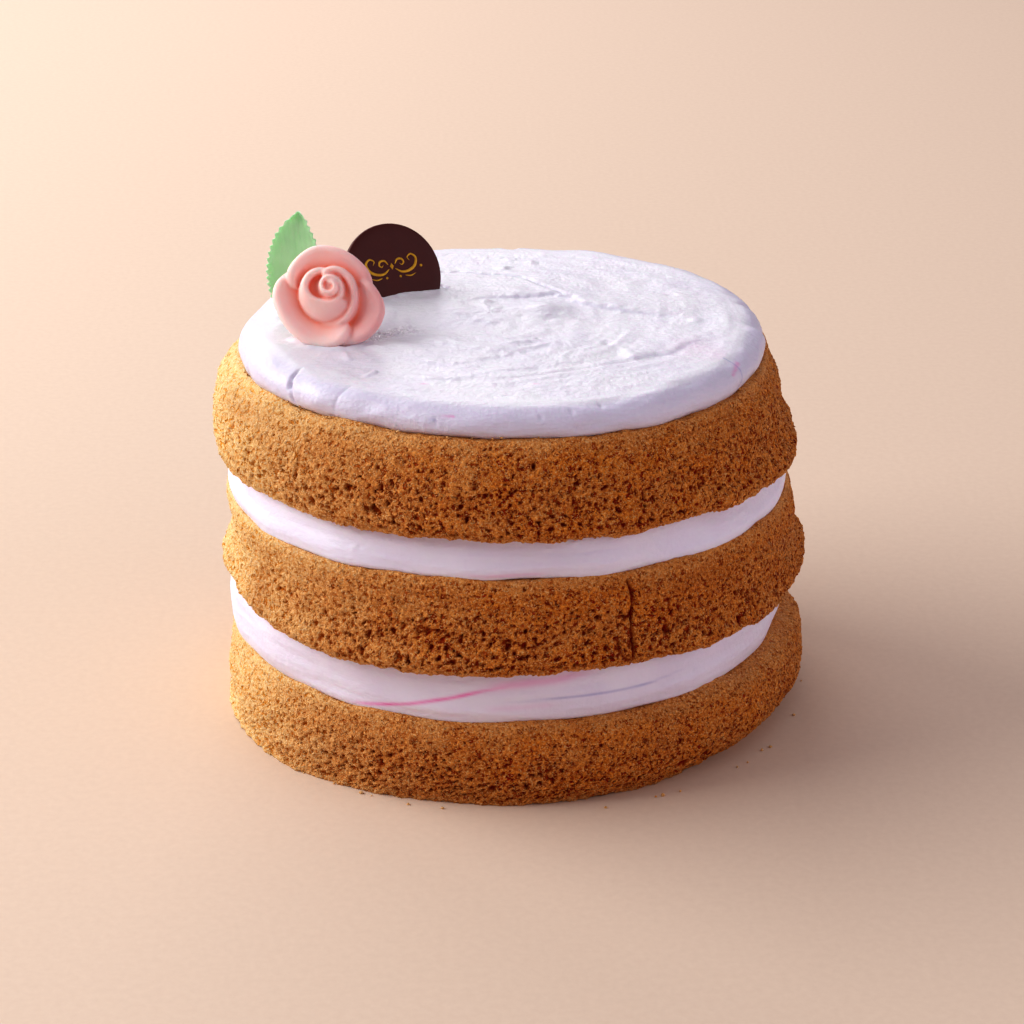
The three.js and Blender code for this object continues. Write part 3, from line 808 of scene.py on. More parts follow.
def top_relief(x, y):
    """What the spatula and the toppings left on the icing, above the CAD's low mounds: height, and the
    painted shade under its steps and in its creases.
    """
    grid, size = (TOP_CELLS, TOP_CELLS), (TOP_SIZE, TOP_SIZE)
    plain = [wave_noise(grid, size, wavelength, TOP_SEED + i) for i, wavelength in enumerate(TOP_WAVES)]
    row, column = (((p + TOP_SIZE / 2) / TOP_SIZE * TOP_CELLS).astype(int) % TOP_CELLS for p in (y, x))
    grainy, lumpy, soft, patchy = (field[row, column] for field in plain)
    dx, dy = x - SWEEP_CENTRE[0], y - SWEEP_CENTRE[1]
    swept = smoothstep(-0.5, 1.3, patchy) * smoothstep(12, 24, np.hypot(dx, dy)) * smoothstep(20, -25, dy)
    swept *= smoothstep(62, 50, np.hypot(x, y))
    relief = swept * sum(streaks(x, y, *streak) for streak in SWEPT_STREAKS)
    relief += streaks(x, y, *WIDE_STREAKS) + 0.02 * grainy + 0.025 * lumpy + 0.04 * soft
    shade = np.zeros(x.shape)
    x = x + PATH_WANDER * soft
    y = y + PATH_WANDER * lumpy
    for path, step, width in STEPS:
        distance, share, side = nearest_on_path(x, y, path)
        signed = distance * side
        fade = ends_fade(share, STEP_FADE)
        rise = np.tanh(signed / (STEP_SOFTNESS + width)) * 0.5 * bell(signed / STEP_REACH)
        relief += STEP_DEPTH * step * rise * fade
        shade = np.maximum(shade, STEP_SHADE * step * bell((signed + 0.4) / 0.7) * fade)
    for path, height, width in RIDGES:
        distance, share, _ = nearest_on_path(x, y, path)
        line = bell(distance / width)
        relief += height * line
        shade = np.maximum(shade, CREASE_SHADE * max(-height, 0) * line * ends_fade(share, CREASE_FADE))
    for lx, ly, wide, tall, height in LUMPS:
        relief += height * bell((x - lx) / wide, (y - ly) / tall)
    relief += wet_patch(x, y) * 0.2 * grainy
    return relief, shade


def icing_top():
    """The spread top: its points, the angle of each, and their values for the material."""
    share, angle = bent_square(ICING_CELLS)
    x, y = round_icing(share * (RIM_SECTION[0][0] + share * lobes(angle)), angle)
    relief, shade = top_relief(x, y)
    z = cad_height(x, y) + relief * smoothstep(1, TOP_LEVEL_FROM, share)
    pinks = [strength * bell((x - px) / wide, (y - py) / tall) for px, py, wide, tall, strength in TOP_PINKS]
    # The top's blue is painted shade under its steps and in its creases.
    values = {"wet": wet_patch(x, y), "pink": np.max(pinks, axis=0), "blue_and_painted_shade": shade, "edge": np.zeros(x.shape)}
    return np.stack([x, y, z], -1).reshape(-1, 3), angle.ravel(), values


def icing_rim(angle, lift):
    """The rim below the top's outermost points: its rows of points, and their values for the material.

    angle is that of each outermost point, and lift how far it stands above the icing's usual height.
    """
    section = np.array([(RIM_SECTION[0][0] - 3, ICING_HEIGHT), *RIM_SECTION])
    along = run_along(section)
    radius, height = spline(along, section, np.linspace(along[1], along[-1], RIM_ROWS + 1)[1:]).T[..., None]
    down = np.linspace(0, 1, RIM_ROWS + 1)[1:, None]
    x, y = round_icing(radius + lobes(angle), angle)
    points = np.stack([x, y, height + lift * (1 - down)], -1)
    around = np.roll(points, -1, axis=1) - np.roll(points, 1, axis=1)
    normals = unit(np.cross(around, -np.gradient(points, axis=0)))

    widest = RIM_SECTION[3][0]
    size = (along[-1] - along[1], 2 * math.pi * widest)
    band = Band(np.broadcast_to(np.degrees(angle), x.shape), points[..., 2].copy(), widest, size)
    bulge = np.empty(band.shape)
    bulge[:, np.argsort(angle % (2 * math.pi))] = band.waves(RIM_WAVES, RIM_SEED)
    for *place_and_size, rise in RIM_MARKS:
        bulge += rise * band.spot(*place_and_size)
    for path, width, depth in RIM_CREASES:
        bulge -= depth * band.line(path, width)
    points += normals * (bulge * smoothstep(0, 0.25, down))[..., None]
    # Painted shade down the rim's face, below the top's edge.
    edge = np.broadcast_to(smoothstep(0, 0.35, down), band.shape)
    return points, {"wet": np.zeros(band.shape), "edge": edge, **band.tints(RIM_TINTS)}


def make_icing():
    top, angle, values = icing_top()
    rim = square_rim(ICING_CELLS)
    side, rim_values = icing_rim(angle[rim], top[rim, 2] - ICING_HEIGHT)
    rows = [rim, *(len(top) + np.arange(side[..., 0].size).reshape(RIM_ROWS, -1))]
    faces = grid_quads(ICING_CELLS + 1, ICING_CELLS + 1, wrap=False)
    for upper, lower in zip(rows, rows[1:]):
        faces += np.stack([upper, lower, np.roll(lower, -1), np.roll(upper, -1)], -1).tolist()
    points = np.vstack([top, side.reshape(-1, 3), side[-1].mean(axis=0)])
    faces += fan(len(points) - 1, rows[-1][::-1].tolist())
    whole = {key: np.concatenate([values[key].ravel(), rim_values[key].ravel(), [0]]) for key in values}
    piece = make_mesh("icing_spread", points, faces, whole)
    place(piece, cream_look("icing_cream", ICING_COLOURS, 0.46, 0.12, (0.16, 1, 1)), "icing", "icing_top")


# ---- sugar rose

ROSE_FOOT = (-47.3, -7.94, 112.5)  # the middle of its underside
ROSE_ELEVATION = 30  # how far its axis rises above level, degrees
BUD_PLACE = (0.5, 1.6)  # the bud's middle, beside the rose's axis
ROSE_VOXEL = 0.38  # the petals are fused at this grain, as soft sugar paste
ROSE_SMOOTHING = 3
ROSE_COLOURS = ((1, 0.675, 0.63), (1, 0.615, 0.57))
# Painted shade in the rose's folds.
FOLD_SHADE_TINT = (1, 0.30, 0.20)
# Painted highlight on the petals' lips.
LIP_HIGHLIGHT_TINT = (1, 0.83, 0.80)
POWDER_TINT = (0.95, 0.85, 0.82)
# Painted shade on the rose's right side, deepening its colour from left to right.
RIGHT_SHADE_TINT = (0.72, 0.39, 0.39)
RIGHT_SHADE_FROM, RIGHT_SHADE_TO = -50, -34  # the rose's colour deepens from left to right between these X
RIGHT_SHADE_SHARE = 0.8
# How strong the painted highlight on the petals' lips is at the left and at the right.
LIP_LEFT, LIP_RIGHT = 0.30, 0.05  # how pale the petals' lips are there
FOLD_PASSES = 60  # how often the copy is smoothed that the folds are measured from
# FOLD_FULL is how deep a fold has its full painted shade.
FOLD_FULL = 0.9  # how deep a fold has its full colour

# Rims are [direction, reach, height, bowl] points, counter-clockwise seen from the front, where bowl is the
# height of the hollow inside the rim. A petal's first end goes under its neighbour, and its last end lies
# over the next one.
OUTER_RIMS = [
    [(-12, 11, 11.2, 10.6), (10, 11.8, 12, 11), (24, 12.2, 12.6, 11.4), (50, 12.2, 13.2, 11.8),
     (80, 12.7, 13.6, 12), (106, 13.4, 13.7, 11.9), (130, 12.9, 13.9, 11.6), (150, 12.4, 14.1, 11),
     (172, 11.6, 13.9, 10.6)],
    [(138, 11.8, 11, 10.2), (151, 12.7, 11.8, 10.2), (165, 14.1, 12.4, 10), (180, 14.6, 12.8, 9.8),
     (200, 14.1, 13, 9.6), (225, 14, 13, 9.6), (250, 14.3, 12.8, 9.8), (270, 14.4, 13, 10.2),
     (288, 13.4, 13.4, 10.8), (308, 12, 13.5, 11.2)],
    [(-92, 13.2, 10.8, 9), (-74, 14, 11.6, 9), (-58, 14.9, 12.2, 8.6), (-45, 15.6, 12.6, 8.2),
     (-30, 15.8, 13, 9.2), (-18, 15.5, 13.3, 10.2), (-8, 14.7, 13.6, 10.8), (2, 13.3, 13.9, 11.4),
     (12, 12.2, 14, 11.6), (32, 11.2, 13.7, 11.6)],
]
# Inner rims also give the cup's bulge below the rim: [direction, reach, height, bulge], about the bud.
INNER_RIMS = [
    [(78, 3.4, 14.2, 4.8), (102, 4.2, 15.2, 5.6), (120, 5, 15.6, 6.4), (140, 5.8, 15.9, 7),
     (160, 6.4, 15.9, 7.6), (180, 6.6, 15.7, 8.1), (200, 6.1, 15.3, 8.5), (220, 5.2, 15, 8.7),
     (240, 4.5, 14.8, 8.8), (265, 4.2, 14.7, 8.6), (290, 4.4, 14.4, 8.3), (312, 4.9, 13.9, 7.9),
     (330, 5.3, 13, 7.2)],
    [(-118, 8.6, 10, 9.4), (-100, 9.2, 10.7, 10), (-85, 9.3, 11.4, 10.2), (-68, 8.9, 12.2, 10),
     (-50, 8.1, 13.1, 9.4), (-30, 7.1, 14, 8.5), (-10, 6.3, 14.7, 7.6), (10, 5.8, 15.2, 7),
     (30, 5.5, 15.6, 6.6), (50, 5.2, 15.8, 6.3), (70, 4.9, 15.9, 6), (90, 4.5, 16, 5.6),
     (110, 4, 15.9, 5), (130, 3.3, 15.4, 4.4)],
]
# The bud is one rolled sheet, from its loose outer end in to the middle.
BUD_RIM = [
    (-118, 4.1, 14.3), (-80, 3.9, 14.9), (-40, 3.4, 15.5), (10, 2.8, 16.2), (60, 2.5, 16.7), (100, 2.35, 17),
    (150, 2.2, 17), (190, 2, 16.9), (240, 1.8, 16.9), (280, 1.65, 17), (330, 1.5, 17.2),
    (370, 1.35, 17.3), (420, 1.15, 17.2), (460, 1, 16.9), (500, 0.8, 16.4),
]
# Round bodies inside the petals, as profiles of (radius, height).
HEART = [(0.05, 0.3), (6, 0.5), (8.3, 3), (9, 6.3), (8, 8.6), (6.2, 11.4), (5.2, 12.8), (0.05, 13.2)]
BUD_CORE = [(0.1, 8), (1.6, 8.2), (1.3, 15.4), (0.6, 15.9), (0.1, 15.8)]


def outer_section(reach, height, bowl):
    """Round an outer petal: up its inside, over its rolled lip, and down its back."""
    middle = 7 + 0.45 * (reach - 7)
    return [
        (4.5, bowl - 0.8), (7, bowl), (middle, bowl + 0.55 * (height - bowl)),
        (reach - 2.6, height - 0.45), (reach - 1.4, height), (reach - 0.4, height - 0.5),
        (reach, height - 1.3), (reach - 0.4, height - 2.2), (reach - 1.8, height - 3.2),
        (middle + 0.5, 6.8), (8, 3.4), (4.5, 2.4),
    ]


def inner_section(reach, height, bulge):
    """Round a cupped inner petal, whose body is wider than its rim."""
    return [
        (reach - 1.4, height - 6), (reach - 1.2, height - 2.4), (reach - 0.9, height - 0.7),
        (reach - 0.2, height), (reach + 0.6, height - 0.5), (0.5 * (reach + bulge) + 0.35, height - 1.9),
        (bulge, height - 4.2), (bulge - 0.1, height - 5.6), (bulge - 1, height - 7.2), (3, height - 7.6),
    ]


def bud_section(reach, height):
    return [
        (reach - 0.5, height - 6), (reach - 0.52, height - 0.9), (reach - 0.3, height - 0.2), (reach, height),
        (reach + 0.35, height - 0.35), (reach + 0.65, height - 1.6), (reach + 1, height - 6),
    ]


def closed_curve(corners, count):
    corners = np.asarray(corners, float)
    wrapped = np.vstack([corners[-2:], corners, corners[:3]])
    along = run_along(wrapped)
    samples = np.linspace(along[2], along[2 + len(corners)], count, endpoint=False)
    return spline(along, wrapped, samples)


def petal(rim, section, middle, round_ends, step=3, around=36):
    """A closed petal swept round the rose: its points and faces. round_ends are in degrees."""
    rim = np.asarray(rim, float)
    directions = np.linspace(rim[0, 0], rim[-1, 0], int((rim[-1, 0] - rim[0, 0]) / step))
    sizes = spline(rim[:, 0], rim[:, 1:], directions)
    points = []
    for direction, size in zip(directions, sizes):
        loop = closed_curve(section(*size), around)
        inner = min((direction - directions[0]) / round_ends[0], 1)
        outer = min((directions[-1] - direction) / round_ends[1], 1)
        full = math.sqrt(max(0, 1 - (1 - inner) ** 2)) * math.sqrt(max(0, 1 - (1 - outer) ** 2))
        centre = loop.mean(axis=0)
        loop = centre + (loop - centre) * (0.08 + 0.92 * full)
        turn = math.radians(direction)
        x = middle[0] + loop[:, 0] * math.cos(turn)
        y = middle[1] + loop[:, 0] * math.sin(turn)
        points.append(np.stack([x, y, loop[:, 1]], -1))
    return np.vstack(points), capped_rows(len(points), around)


def turned(profile, around):
    """A closed round body from a profile of (radius, height), lowest first."""
    turns = 2 * math.pi * np.arange(around) / around
    points = np.vstack([
        np.stack([radius * np.cos(turns), radius * np.sin(turns), np.full(around, height)], -1)
        for radius, height in profile
    ])
    return points, capped_rows(len(profile), around)


def joined(parts):
    """Several bodies' points and faces as one."""
    points, faces, start = [], [], 0
    for some, some_faces in parts:
        points.append(some)
        faces += [tuple(start + i for i in face) for face in some_faces]
        start += len(some)
    return np.vstack(points), faces


def fuse(piece, voxel_mm, smoothing):
    """Makes the piece's overlapping bodies into one skin."""
    remesh = piece.modifiers.new("fuse", "REMESH")
    remesh.mode = "VOXEL"
    remesh.voxel_size = voxel_mm * MM
    remesh.use_smooth_shade = True
    smooth = piece.modifiers.new("soften", "SMOOTH")
    smooth.factor = 0.5
    smooth.iterations = smoothing
    evaluated = piece.evaluated_get(bpy.context.evaluated_depsgraph_get())
    mesh = bpy.data.meshes.new_from_object(evaluated)
    piece.modifiers.clear()
    piece.data = mesh
    mesh.polygons.foreach_set("use_smooth", [True] * len(mesh.polygons))


def on_plane(points, middle, across, up, out):
    """Places points given along three directions from a middle."""
    points = np.asarray(points)
    return np.array(middle) + points[:, :1] * across + points[:, 1:2] * up + points[:, 2:] * out


def fold_depth(mesh, passes, full_mm):
    """How far each point lies in a fold: 1 where a smoothed copy stands full_mm proud of it, -1 on a lip."""
    count = len(mesh.vertices)
    flat = np.empty(count * 3)
    mesh.vertices.foreach_get("co", flat)
    points = flat.reshape(-1, 3) / MM
    mesh.vertices.foreach_get("normal", flat)
    normals = flat.reshape(-1, 3)
    ends = np.empty(len(mesh.edges) * 2, np.int32)
    mesh.edges.foreach_get("vertices", ends)
    first, second = ends.reshape(-1, 2).T
    neighbours = np.bincount(first, minlength=count) + np.bincount(second, minlength=count)
    smooth = points.copy()
    for _ in range(passes):
        total = np.stack([
            np.bincount(first, smooth[second, axis], count) + np.bincount(second, smooth[first, axis], count)
            for axis in range(3)
        ], -1)
        smooth = total / neighbours[:, None]
    return np.clip(((smooth - points) * normals).sum(-1) / full_mm, -1, 1)


def sugar_look(name, colours, glow, glow_radius, grain_stretch=(1, 1, 1), grain_turn=0):
    """Matte sugar paste that lets light in, with a fine powdery grain, painted shade in its folds and towards
    its right, and painted highlights on its lips.
    """
    look = Look(name)
    right_shade, lip, fold = look.point_values("right_shade", "lip", "fold")
    tint = look.mix(look.spread(look.noise(5, 2, 0.5), 0.3, 0.7), *colours)
    powder = look.noise(0.35, 2, 0.5)
    tint = look.mix(look.spread(powder, 0.62, 0.8, 0, 0.25), tint, POWDER_TINT)
    for share, colour in ((right_shade, RIGHT_SHADE_TINT), (lip, LIP_HIGHLIGHT_TINT), (fold, FOLD_SHADE_TINT)):
        tint = look.mix(share, tint, colour)
    grain = look.noise(0.7, 2, 0.5, grain_stretch, grain_turn)
    normal = look.bump(powder, 0.03, look.bump(grain, 0.05))
    look.finish(Base_Color=tint, Roughness=0.55, Normal=normal, Specular_IOR_Level=0.35)
    look.finish(Subsurface_Weight=glow, Subsurface_Radius=glow_radius, Subsurface_Scale=0.0020)
    return look.finish(Sheen_Weight=0.12, Sheen_Roughness=0.5)


def rose_tones(mesh):
    """Point values: painted shade in the folds, painted highlights on the petals' lips, and painted shade
    towards the right.
    """
    depth = fold_depth(mesh, FOLD_PASSES, FOLD_FULL)
    across = np.array([vertex.co.x for vertex in mesh.vertices]) / MM
    right_shade = smoothstep(RIGHT_SHADE_FROM, RIGHT_SHADE_TO, across)
    lip_highlight = LIP_LEFT + (LIP_RIGHT - LIP_LEFT) * right_shade
    lip = np.clip(-depth, 0, 1) * lip_highlight
    return {"fold": np.clip(depth, 0, 1), "lip": lip, "right_shade": RIGHT_SHADE_SHARE * right_shade}


def make_rose():
    parts = [turned(HEART, 48)]
    parts += [petal(rim, outer_section, (0, 0), (10, 24)) for rim in OUTER_RIMS]
    parts += [petal(rim, inner_section, BUD_PLACE, (16, 16)) for rim in INNER_RIMS]
    parts.append(petal(BUD_RIM, bud_section, BUD_PLACE, (30, 20), step=5, around=20))
    core, core_faces = turned(BUD_CORE, 16)
    parts.append((core + (*BUD_PLACE, 0), core_faces))
    points, faces = joined(parts)
    rise = math.radians(ROSE_ELEVATION)
    across, up = np.array([1, 0, 0]), np.array([0, math.sin(rise), math.cos(rise)])
    out = np.array([0, -math.cos(rise), math.sin(rise)])
    piece = make_mesh("rose_petals", on_plane(points, ROSE_FOOT, across, up, out), faces)
    fuse(piece, ROSE_VOXEL, ROSE_SMOOTHING)
    set_values(piece.data, rose_tones(piece.data))
    look = sugar_look("sugar_rose_paste", ROSE_COLOURS, 0.6, (1, 0.42, 0.34))
    place(piece, look, "sugar_pink", "sugar_rose")


# ---- sugar leaf

LEAF_FOOT = (-56.8, -0.4, 103)
LEAF_COLOURS = ((0.44, 0.76, 0.45), (0.49, 0.80, 0.50))
LEAF_LENGTH = 32
LEAF_HALF_WIDTH = 7.1
LEAF_THICKNESS = 1.3
LEAF_LEAN = 3  # backwards, degrees
LEAF_CUP = 1.5  # how far the sides come forward
LEAF_TEETH = 19
TOOTH_DEPTH = 0.75
LEAF_BEND = 1.3  # how far its tip leans to the right
LEAF_VEIN = (0.18, 0.8)  # the middle vein, as (height, half width)
LEAF_RIBS = (0.06, 1.3)  # the fine ribs beside it, as (height, spacing)
LEAF_GRID = (141, 41)  # rows up and columns across


def leaf_outline(share):
    """The half width of a blunt oval, and how far the teeth on its edge stand out."""
    outline = 0.3 + LEAF_HALF_WIDTH * np.sin(math.pi * np.clip(share, 0.02, 0.995)) ** 0.7
    phase = share * LEAF_TEETH % 1
    tooth = np.where(phase < 0.75, phase / 0.75, (1 - phase) / 0.25)
    return outline, TOOTH_DEPTH * (tooth - 0.6) * smoothstep(1, 0.93, share)


def make_leaf():
    rows, columns = LEAF_GRID
    share, across = np.meshgrid(np.linspace(0, 1, rows), np.linspace(-1, 1, columns), indexing="ij")
    half_width, teeth = leaf_outline(share)
    edge = np.abs(across)
    x = across * half_width + np.sign(across) * teeth * smoothstep(0.8, 1, edge)
    x += LEAF_BEND * smoothstep(0.82, 1.05, share) - 0.2
    z = share * LEAF_LENGTH
    cup = LEAF_CUP * edge ** 2 + 0.5 * smoothstep(0.8, 1, edge)
    vein = LEAF_VEIN[0] * bell(x / LEAF_VEIN[1]) * (1 - share)
    ribs = LEAF_RIBS[0] * np.sin(2 * math.pi * (x * 0.9 + z * 0.12) / LEAF_RIBS[1])
    half = LEAF_THICKNESS / 2 * (0.25 + 0.75 * np.sqrt(1 - 0.98 * edge ** 4)) * smoothstep(1.06, 0.9, share)
    front = np.stack([x, -cup - half + vein + ribs, z], -1).reshape(-1, 3)
    back = np.stack([x, -cup + half, z], -1).reshape(-1, 3)
    count = rows * columns
    front_faces = grid_quads(rows, columns, wrap=False)
    faces = front_faces + [tuple(count + i for i in face[::-1]) for face in front_faces]
    index = np.arange(count).reshape(rows, columns)
    border = np.concatenate([index[0], index[1:, -1], index[-1, -2::-1], index[-2:0:-1, 0]])
    following = np.roll(border, -1)
    faces += np.stack([border, border + count, following + count, following], -1).tolist()
    points = np.vstack([front, back])
    lean = math.radians(LEAF_LEAN)
    across = np.array([1, 0, 0])
    behind = np.array([0, math.cos(lean), -math.sin(lean)])
    up = np.array([0, math.sin(lean), math.cos(lean)])
    piece = make_mesh("leaf_blade", on_plane(points, LEAF_FOOT, across, behind, up), faces)
    look = sugar_look("sugar_leaf_paste", LEAF_COLOURS, 0.35, (0.5, 1, 0.5), (2.2, 1, 0.12), 0.2)
    place(piece, look, "sugar_green", "sugar_leaf")


# ---- chocolate disc

DISC_CENTRE = (-32.3, 19, 111.8)
DISC_RADIUS = 14
DISC_THICKNESS = 1.8
DISC_EDGE = 0.5  # the radius of its rounded edge
CHOCOLATE_COLOURS = ((0.080, 0.016, 0.014), (0.095, 0.021, 0.018))
SCUFF_COLOUR = (0.15, 0.07, 0.06)
GILT_COLOURS = ((0.52, 0.26, 0.012), (0.66, 0.38, 0.03))
DISC_TURN = 27  # about the vertical, degrees
DISC_LEAN = 26  # backwards, degrees
# One half of the gilt ornament, mirrored for the other: scrolls are [path, widest], dots are (x, y, radius).
SCROLLS = [
    ([(0.9, -0.7), (2.6, -1.8), (4.9, -1.7), (6.9, -0.3), (7.3, 1.6), (6, 2.6), (4.9, 1.8), (5.4, 0.9)],
     0.85),
    ([(1, 0.5), (1.9, 1.7), (3.2, 1.6), (3.6, 0.6), (2.9, 0.1), (2.4, 0.6)], 0.65),
    ([(3.4, -2.9), (5, -3.2), (6.6, -2.7)], 0.45),
]
DOTS = [(8.5, -0.9, 0.42), (2, -3, 0.36)]
DIAMOND = [(0, 1), (0.62, 0), (0, -1), (-0.62, 0)]
GILT_HEIGHT = 0.13
GILT_PLACE = (0, 2.2)  # the ornament's middle on the disc's face


def disc_to_cake(points):
    """Places points of the disc's own plane, x across, y up its face and z out of it."""
    turn, lean = math.radians(DISC_TURN), math.radians(DISC_LEAN)
    across = np.array([math.cos(turn), math.sin(turn), 0])
    out = np.array([math.sin(turn) * math.cos(lean), -math.cos(turn) * math.cos(lean), math.sin(lean)])
    return on_plane(points, DISC_CENTRE, across, np.cross(out, across), out)


def scroll(path, widest, mirror):
    """A flat raised stroke that tapers to both its ends."""
    line = smooth_path(path, 0.2)
    along = unit(np.gradient(line, axis=0))
    across = np.stack([-along[:, 1], along[:, 0]], -1)
    share = np.linspace(0, 1, len(line))
    half = widest / 2 * (0.12 + 0.88 * np.sin(math.pi * share ** 0.8) ** 0.7)
    section = [(-1, -0.2), (-0.85, 0.7), (0, 1), (0.85, 0.7), (1, -0.2)]
    rows = [np.column_stack([line + across * (half * s)[:, None], np.full(len(line), h * GILT_HEIGHT)])
            for s, h in section]
    points = np.stack(rows, axis=1).reshape(-1, 3) * (mirror, 1, 1)
    faces = capped_rows(len(line), len(section))
    return points, [face[::-1] for face in faces] if mirror > 0 else faces


def chocolate_look():
    """Dark chocolate, cloudy and a little scuffed."""
    look = Look("dark_chocolate")
    cloud = look.noise(9, 3, 0.5)
    scuff = look.spread(look.noise(1, 3, 0.6, (1, 1, 3)), 0.66, 0.72)
    colour = look.mix(look.spread(cloud, 0.35, 0.65), *CHOCOLATE_COLOURS)
    colour = look.mix(look.times(scuff, 0.25), colour, SCUFF_COLOUR)
    normal = look.bump(look.noise(2.5, 3, 0.5), 0.04)
    look.finish(Base_Color=colour, Normal=normal, Subsurface_Weight=0.08, Subsurface_Scale=0.0008)
    return look.finish(Roughness=look.spread(cloud, 0.3, 0.7, 0.34, 0.46), Specular_IOR_Level=0.25)


def gilt_look():
    look = Look("gilt")
    leaf = look.noise(0.8, 3, 0.6)
    colour = look.mix(look.spread(leaf, 0.35, 0.7), *GILT_COLOURS)
    return look.finish(Base_Color=colour, Metallic=0.35, Roughness=0.38, Normal=look.bump(leaf, 0.03))


def make_disc():
    half = DISC_THICKNESS / 2
    edge = []
    for bend in np.radians(range(-90, 91, 30)):
        radius = DISC_RADIUS - DISC_EDGE + DISC_EDGE * math.cos(bend)
        edge.append((radius, (half - DISC_EDGE) * np.sign(bend) + DISC_EDGE * math.sin(bend)))
    back = [(r, -half) for r in (0.05, 3, 6, 9, 11.5)]
    front = [(r, -h) for r, h in reversed(back)]
    points, faces = turned(back + edge + front, 128)
    piece = make_mesh("disc_body", disc_to_cake(points), faces)
    place(piece, chocolate_look(), "chocolate", "chocolate_disc")


def make_ornament():
    """The gilt ornament, raised a little from the disc's face."""
    parts = [scroll(path, widest, mirror) for path, widest in SCROLLS for mirror in (1, -1)]
    for x, y, radius in DOTS:
        dot, dot_faces = turned([(radius, -0.03), (radius * 0.9, 0.09), (0.02, GILT_HEIGHT)], 20)
        parts += [(dot + (x * mirror, y, 0), dot_faces) for mirror in (1, -1)]
    bevel = [(1, -0.03), (0.85, 0.09), (0.03, 0.2)]
    diamond = np.array([(x * size, y * size, height) for size, height in bevel for x, y in DIAMOND])
    parts.append((diamond, [face[::-1] for face in capped_rows(len(bevel), len(DIAMOND))]))
    points, faces = joined(parts)
    piece = make_mesh("disc_ornament", disc_to_cake(points + (*GILT_PLACE, DISC_THICKNESS / 2)), faces)
    place(piece, gilt_look(), "chocolate")


# ---- loose crumbs

CRUMB_COUNT = 100
CRUMB_SEED = 5
CRUMB_SIZES = (0.2, 0.5)  # smallest and largest radius
CRUMB_PROFILE = [(0.25, -0.9), (0.8, -0.5), (1, 0), (0.75, 0.55), (0.2, 0.9)]
# Where crumbs lie: [layer, height above which they rest, outset from the layer's edge, share of them].
CRUMB_LEDGES = [("icing_top", 98.4, 0.7, 0.5), ("sponge_bottom", 0, 0.8, 0.5)]


def make_crumbs():
    """Small broken grains on the ledge round the icing and at the cake's foot."""
    rng = np.random.default_rng(CRUMB_SEED)
    parts = []
    for node, height, outset, share in CRUMB_LEDGES:
        low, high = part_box(node)
        radius = (high.x - low.x) / 2 / MM
        middle = ((high.x + low.x) / 2 / MM, (high.y + low.y) / 2 / MM)
        for _ in range(int(CRUMB_COUNT * share)):
            size = rng.uniform(*CRUMB_SIZES)
            turn = rng.uniform(0, 2 * math.pi)
            reach = radius + outset * abs(rng.normal()) - 0.4
            lump, faces = turned(CRUMB_PROFILE, 8)
            lump = lump * rng.uniform(0.75, 1.25, lump.shape) * rng.uniform(0.7, 1.3, 3) * size
            across, back = reach * math.cos(turn), reach * math.sin(turn)
            parts.append((lump + (middle[0] + across, middle[1] + back, height + size * 0.7), faces))
    points, faces = joined(parts)
    points[:, 2] = np.maximum(points[:, 2], 0)
    values = {"crest": 0.7, "pore_shade": 0, "bake_and_painted_light": 0.6, "stain": 0, "open": 0}
    values = {key: np.full(len(points), number) for key, number in values.items()}
    return make_mesh("loose_crumbs", points, faces, values)


# ---- studio

FLOOR_HALF = 3000
FLOOR_COLOURS = ((0.70, 0.545, 0.435), (0.73, 0.575, 0.46))
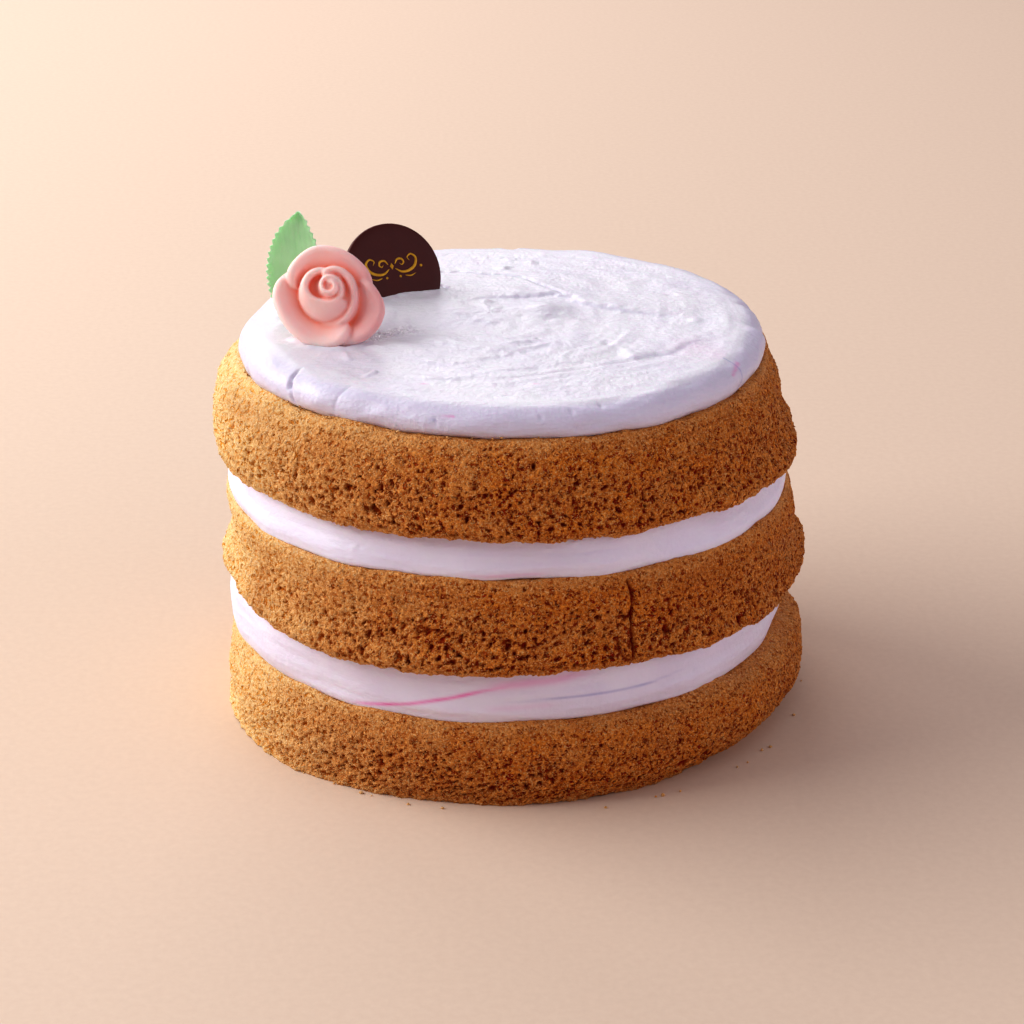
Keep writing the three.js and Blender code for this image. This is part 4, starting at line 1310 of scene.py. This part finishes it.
# Lights are [place, aim, size, watts, colour], in metres.
LIGHTS = {
    "key": [(-1.2, 0.12, 0.85), (0, 0, 0.06), (1.6, 0.8), 20.6, (0.975, 1, 0.985)],
    "fill": [(1.35, -0.6, 0.5), (0, 0, 0.06), (1.4, 1.2), 5.3, (0.97, 0.93, 1)],
    "back": [(-0.40, 1.25, 0.75), (0, 0, 0.1), (1, 0.5), 4.9, (1, 0.99, 1)],
}
WORLD_COLOUR = (0.96, 0.92, 1)
WORLD_STRENGTH = 0.40
EXPOSURE = -0.25
CAMERA_PLACE = (0.05, -754.27, 362.35)
CAMERA_PITCH = 22.474  # degrees below level
CAMERA_SENSOR, CAMERA_LENS = 36, 105.47  # sensor width and focal length


def make_floor():
    corners = [(x * FLOOR_HALF, y * FLOOR_HALF, 0) for x, y in ((-1, -1), (1, -1), (1, 1), (-1, 1))]
    floor = make_mesh("floor", corners, [(0, 1, 2, 3)])
    look = Look("pale_floor")
    paper = look.noise(2.2, 4, 0.6)
    colour = look.mix(look.spread(paper, 0.3, 0.7), *FLOOR_COLOURS)
    look.finish(Base_Color=colour, Roughness=0.9, Normal=look.bump(paper, 0.03))
    floor.data.materials.append(look.material)


def area_light(name, place_m, aim_m, size_m, watts, colour):
    light = bpy.data.lights.new(name, "AREA")
    light.shape = "RECTANGLE"
    light.size, light.size_y = size_m
    light.energy = watts
    light.color = colour
    lamp = bpy.data.objects.new(name, light)
    bpy.context.scene.collection.objects.link(lamp)
    start = np.array(place_m)
    lamp.location = start
    lamp.rotation_euler = Vector(np.array(aim_m) - start).to_track_quat("-Z", "Y").to_euler()


def make_studio():
    for name, settings in LIGHTS.items():
        area_light(name, *settings)
    world = bpy.data.worlds.new("studio")
    world.use_nodes = True
    background = world.node_tree.nodes["Background"].inputs
    background["Color"].default_value = (*WORLD_COLOUR, 1)
    background["Strength"].default_value = WORLD_STRENGTH
    scene = bpy.context.scene
    scene.world = world
    scene.view_settings.view_transform = "Standard"
    scene.view_settings.look = "High Contrast"
    scene.view_settings.exposure = EXPOSURE


def make_camera():
    data = bpy.data.cameras.new("camera")
    data.sensor_width = CAMERA_SENSOR
    data.lens = CAMERA_LENS
    camera = bpy.data.objects.new("camera", data)
    camera.location = np.array(CAMERA_PLACE) * MM
    camera.rotation_euler = (math.radians(90 - CAMERA_PITCH), 0, 0)
    bpy.context.scene.collection.objects.link(camera)
    bpy.context.scene.camera = camera


make_camera()
make_studio()
make_floor()
make_sponges()
make_fillings()
make_icing()
make_rose()
make_leaf()
make_disc()
make_ornament()
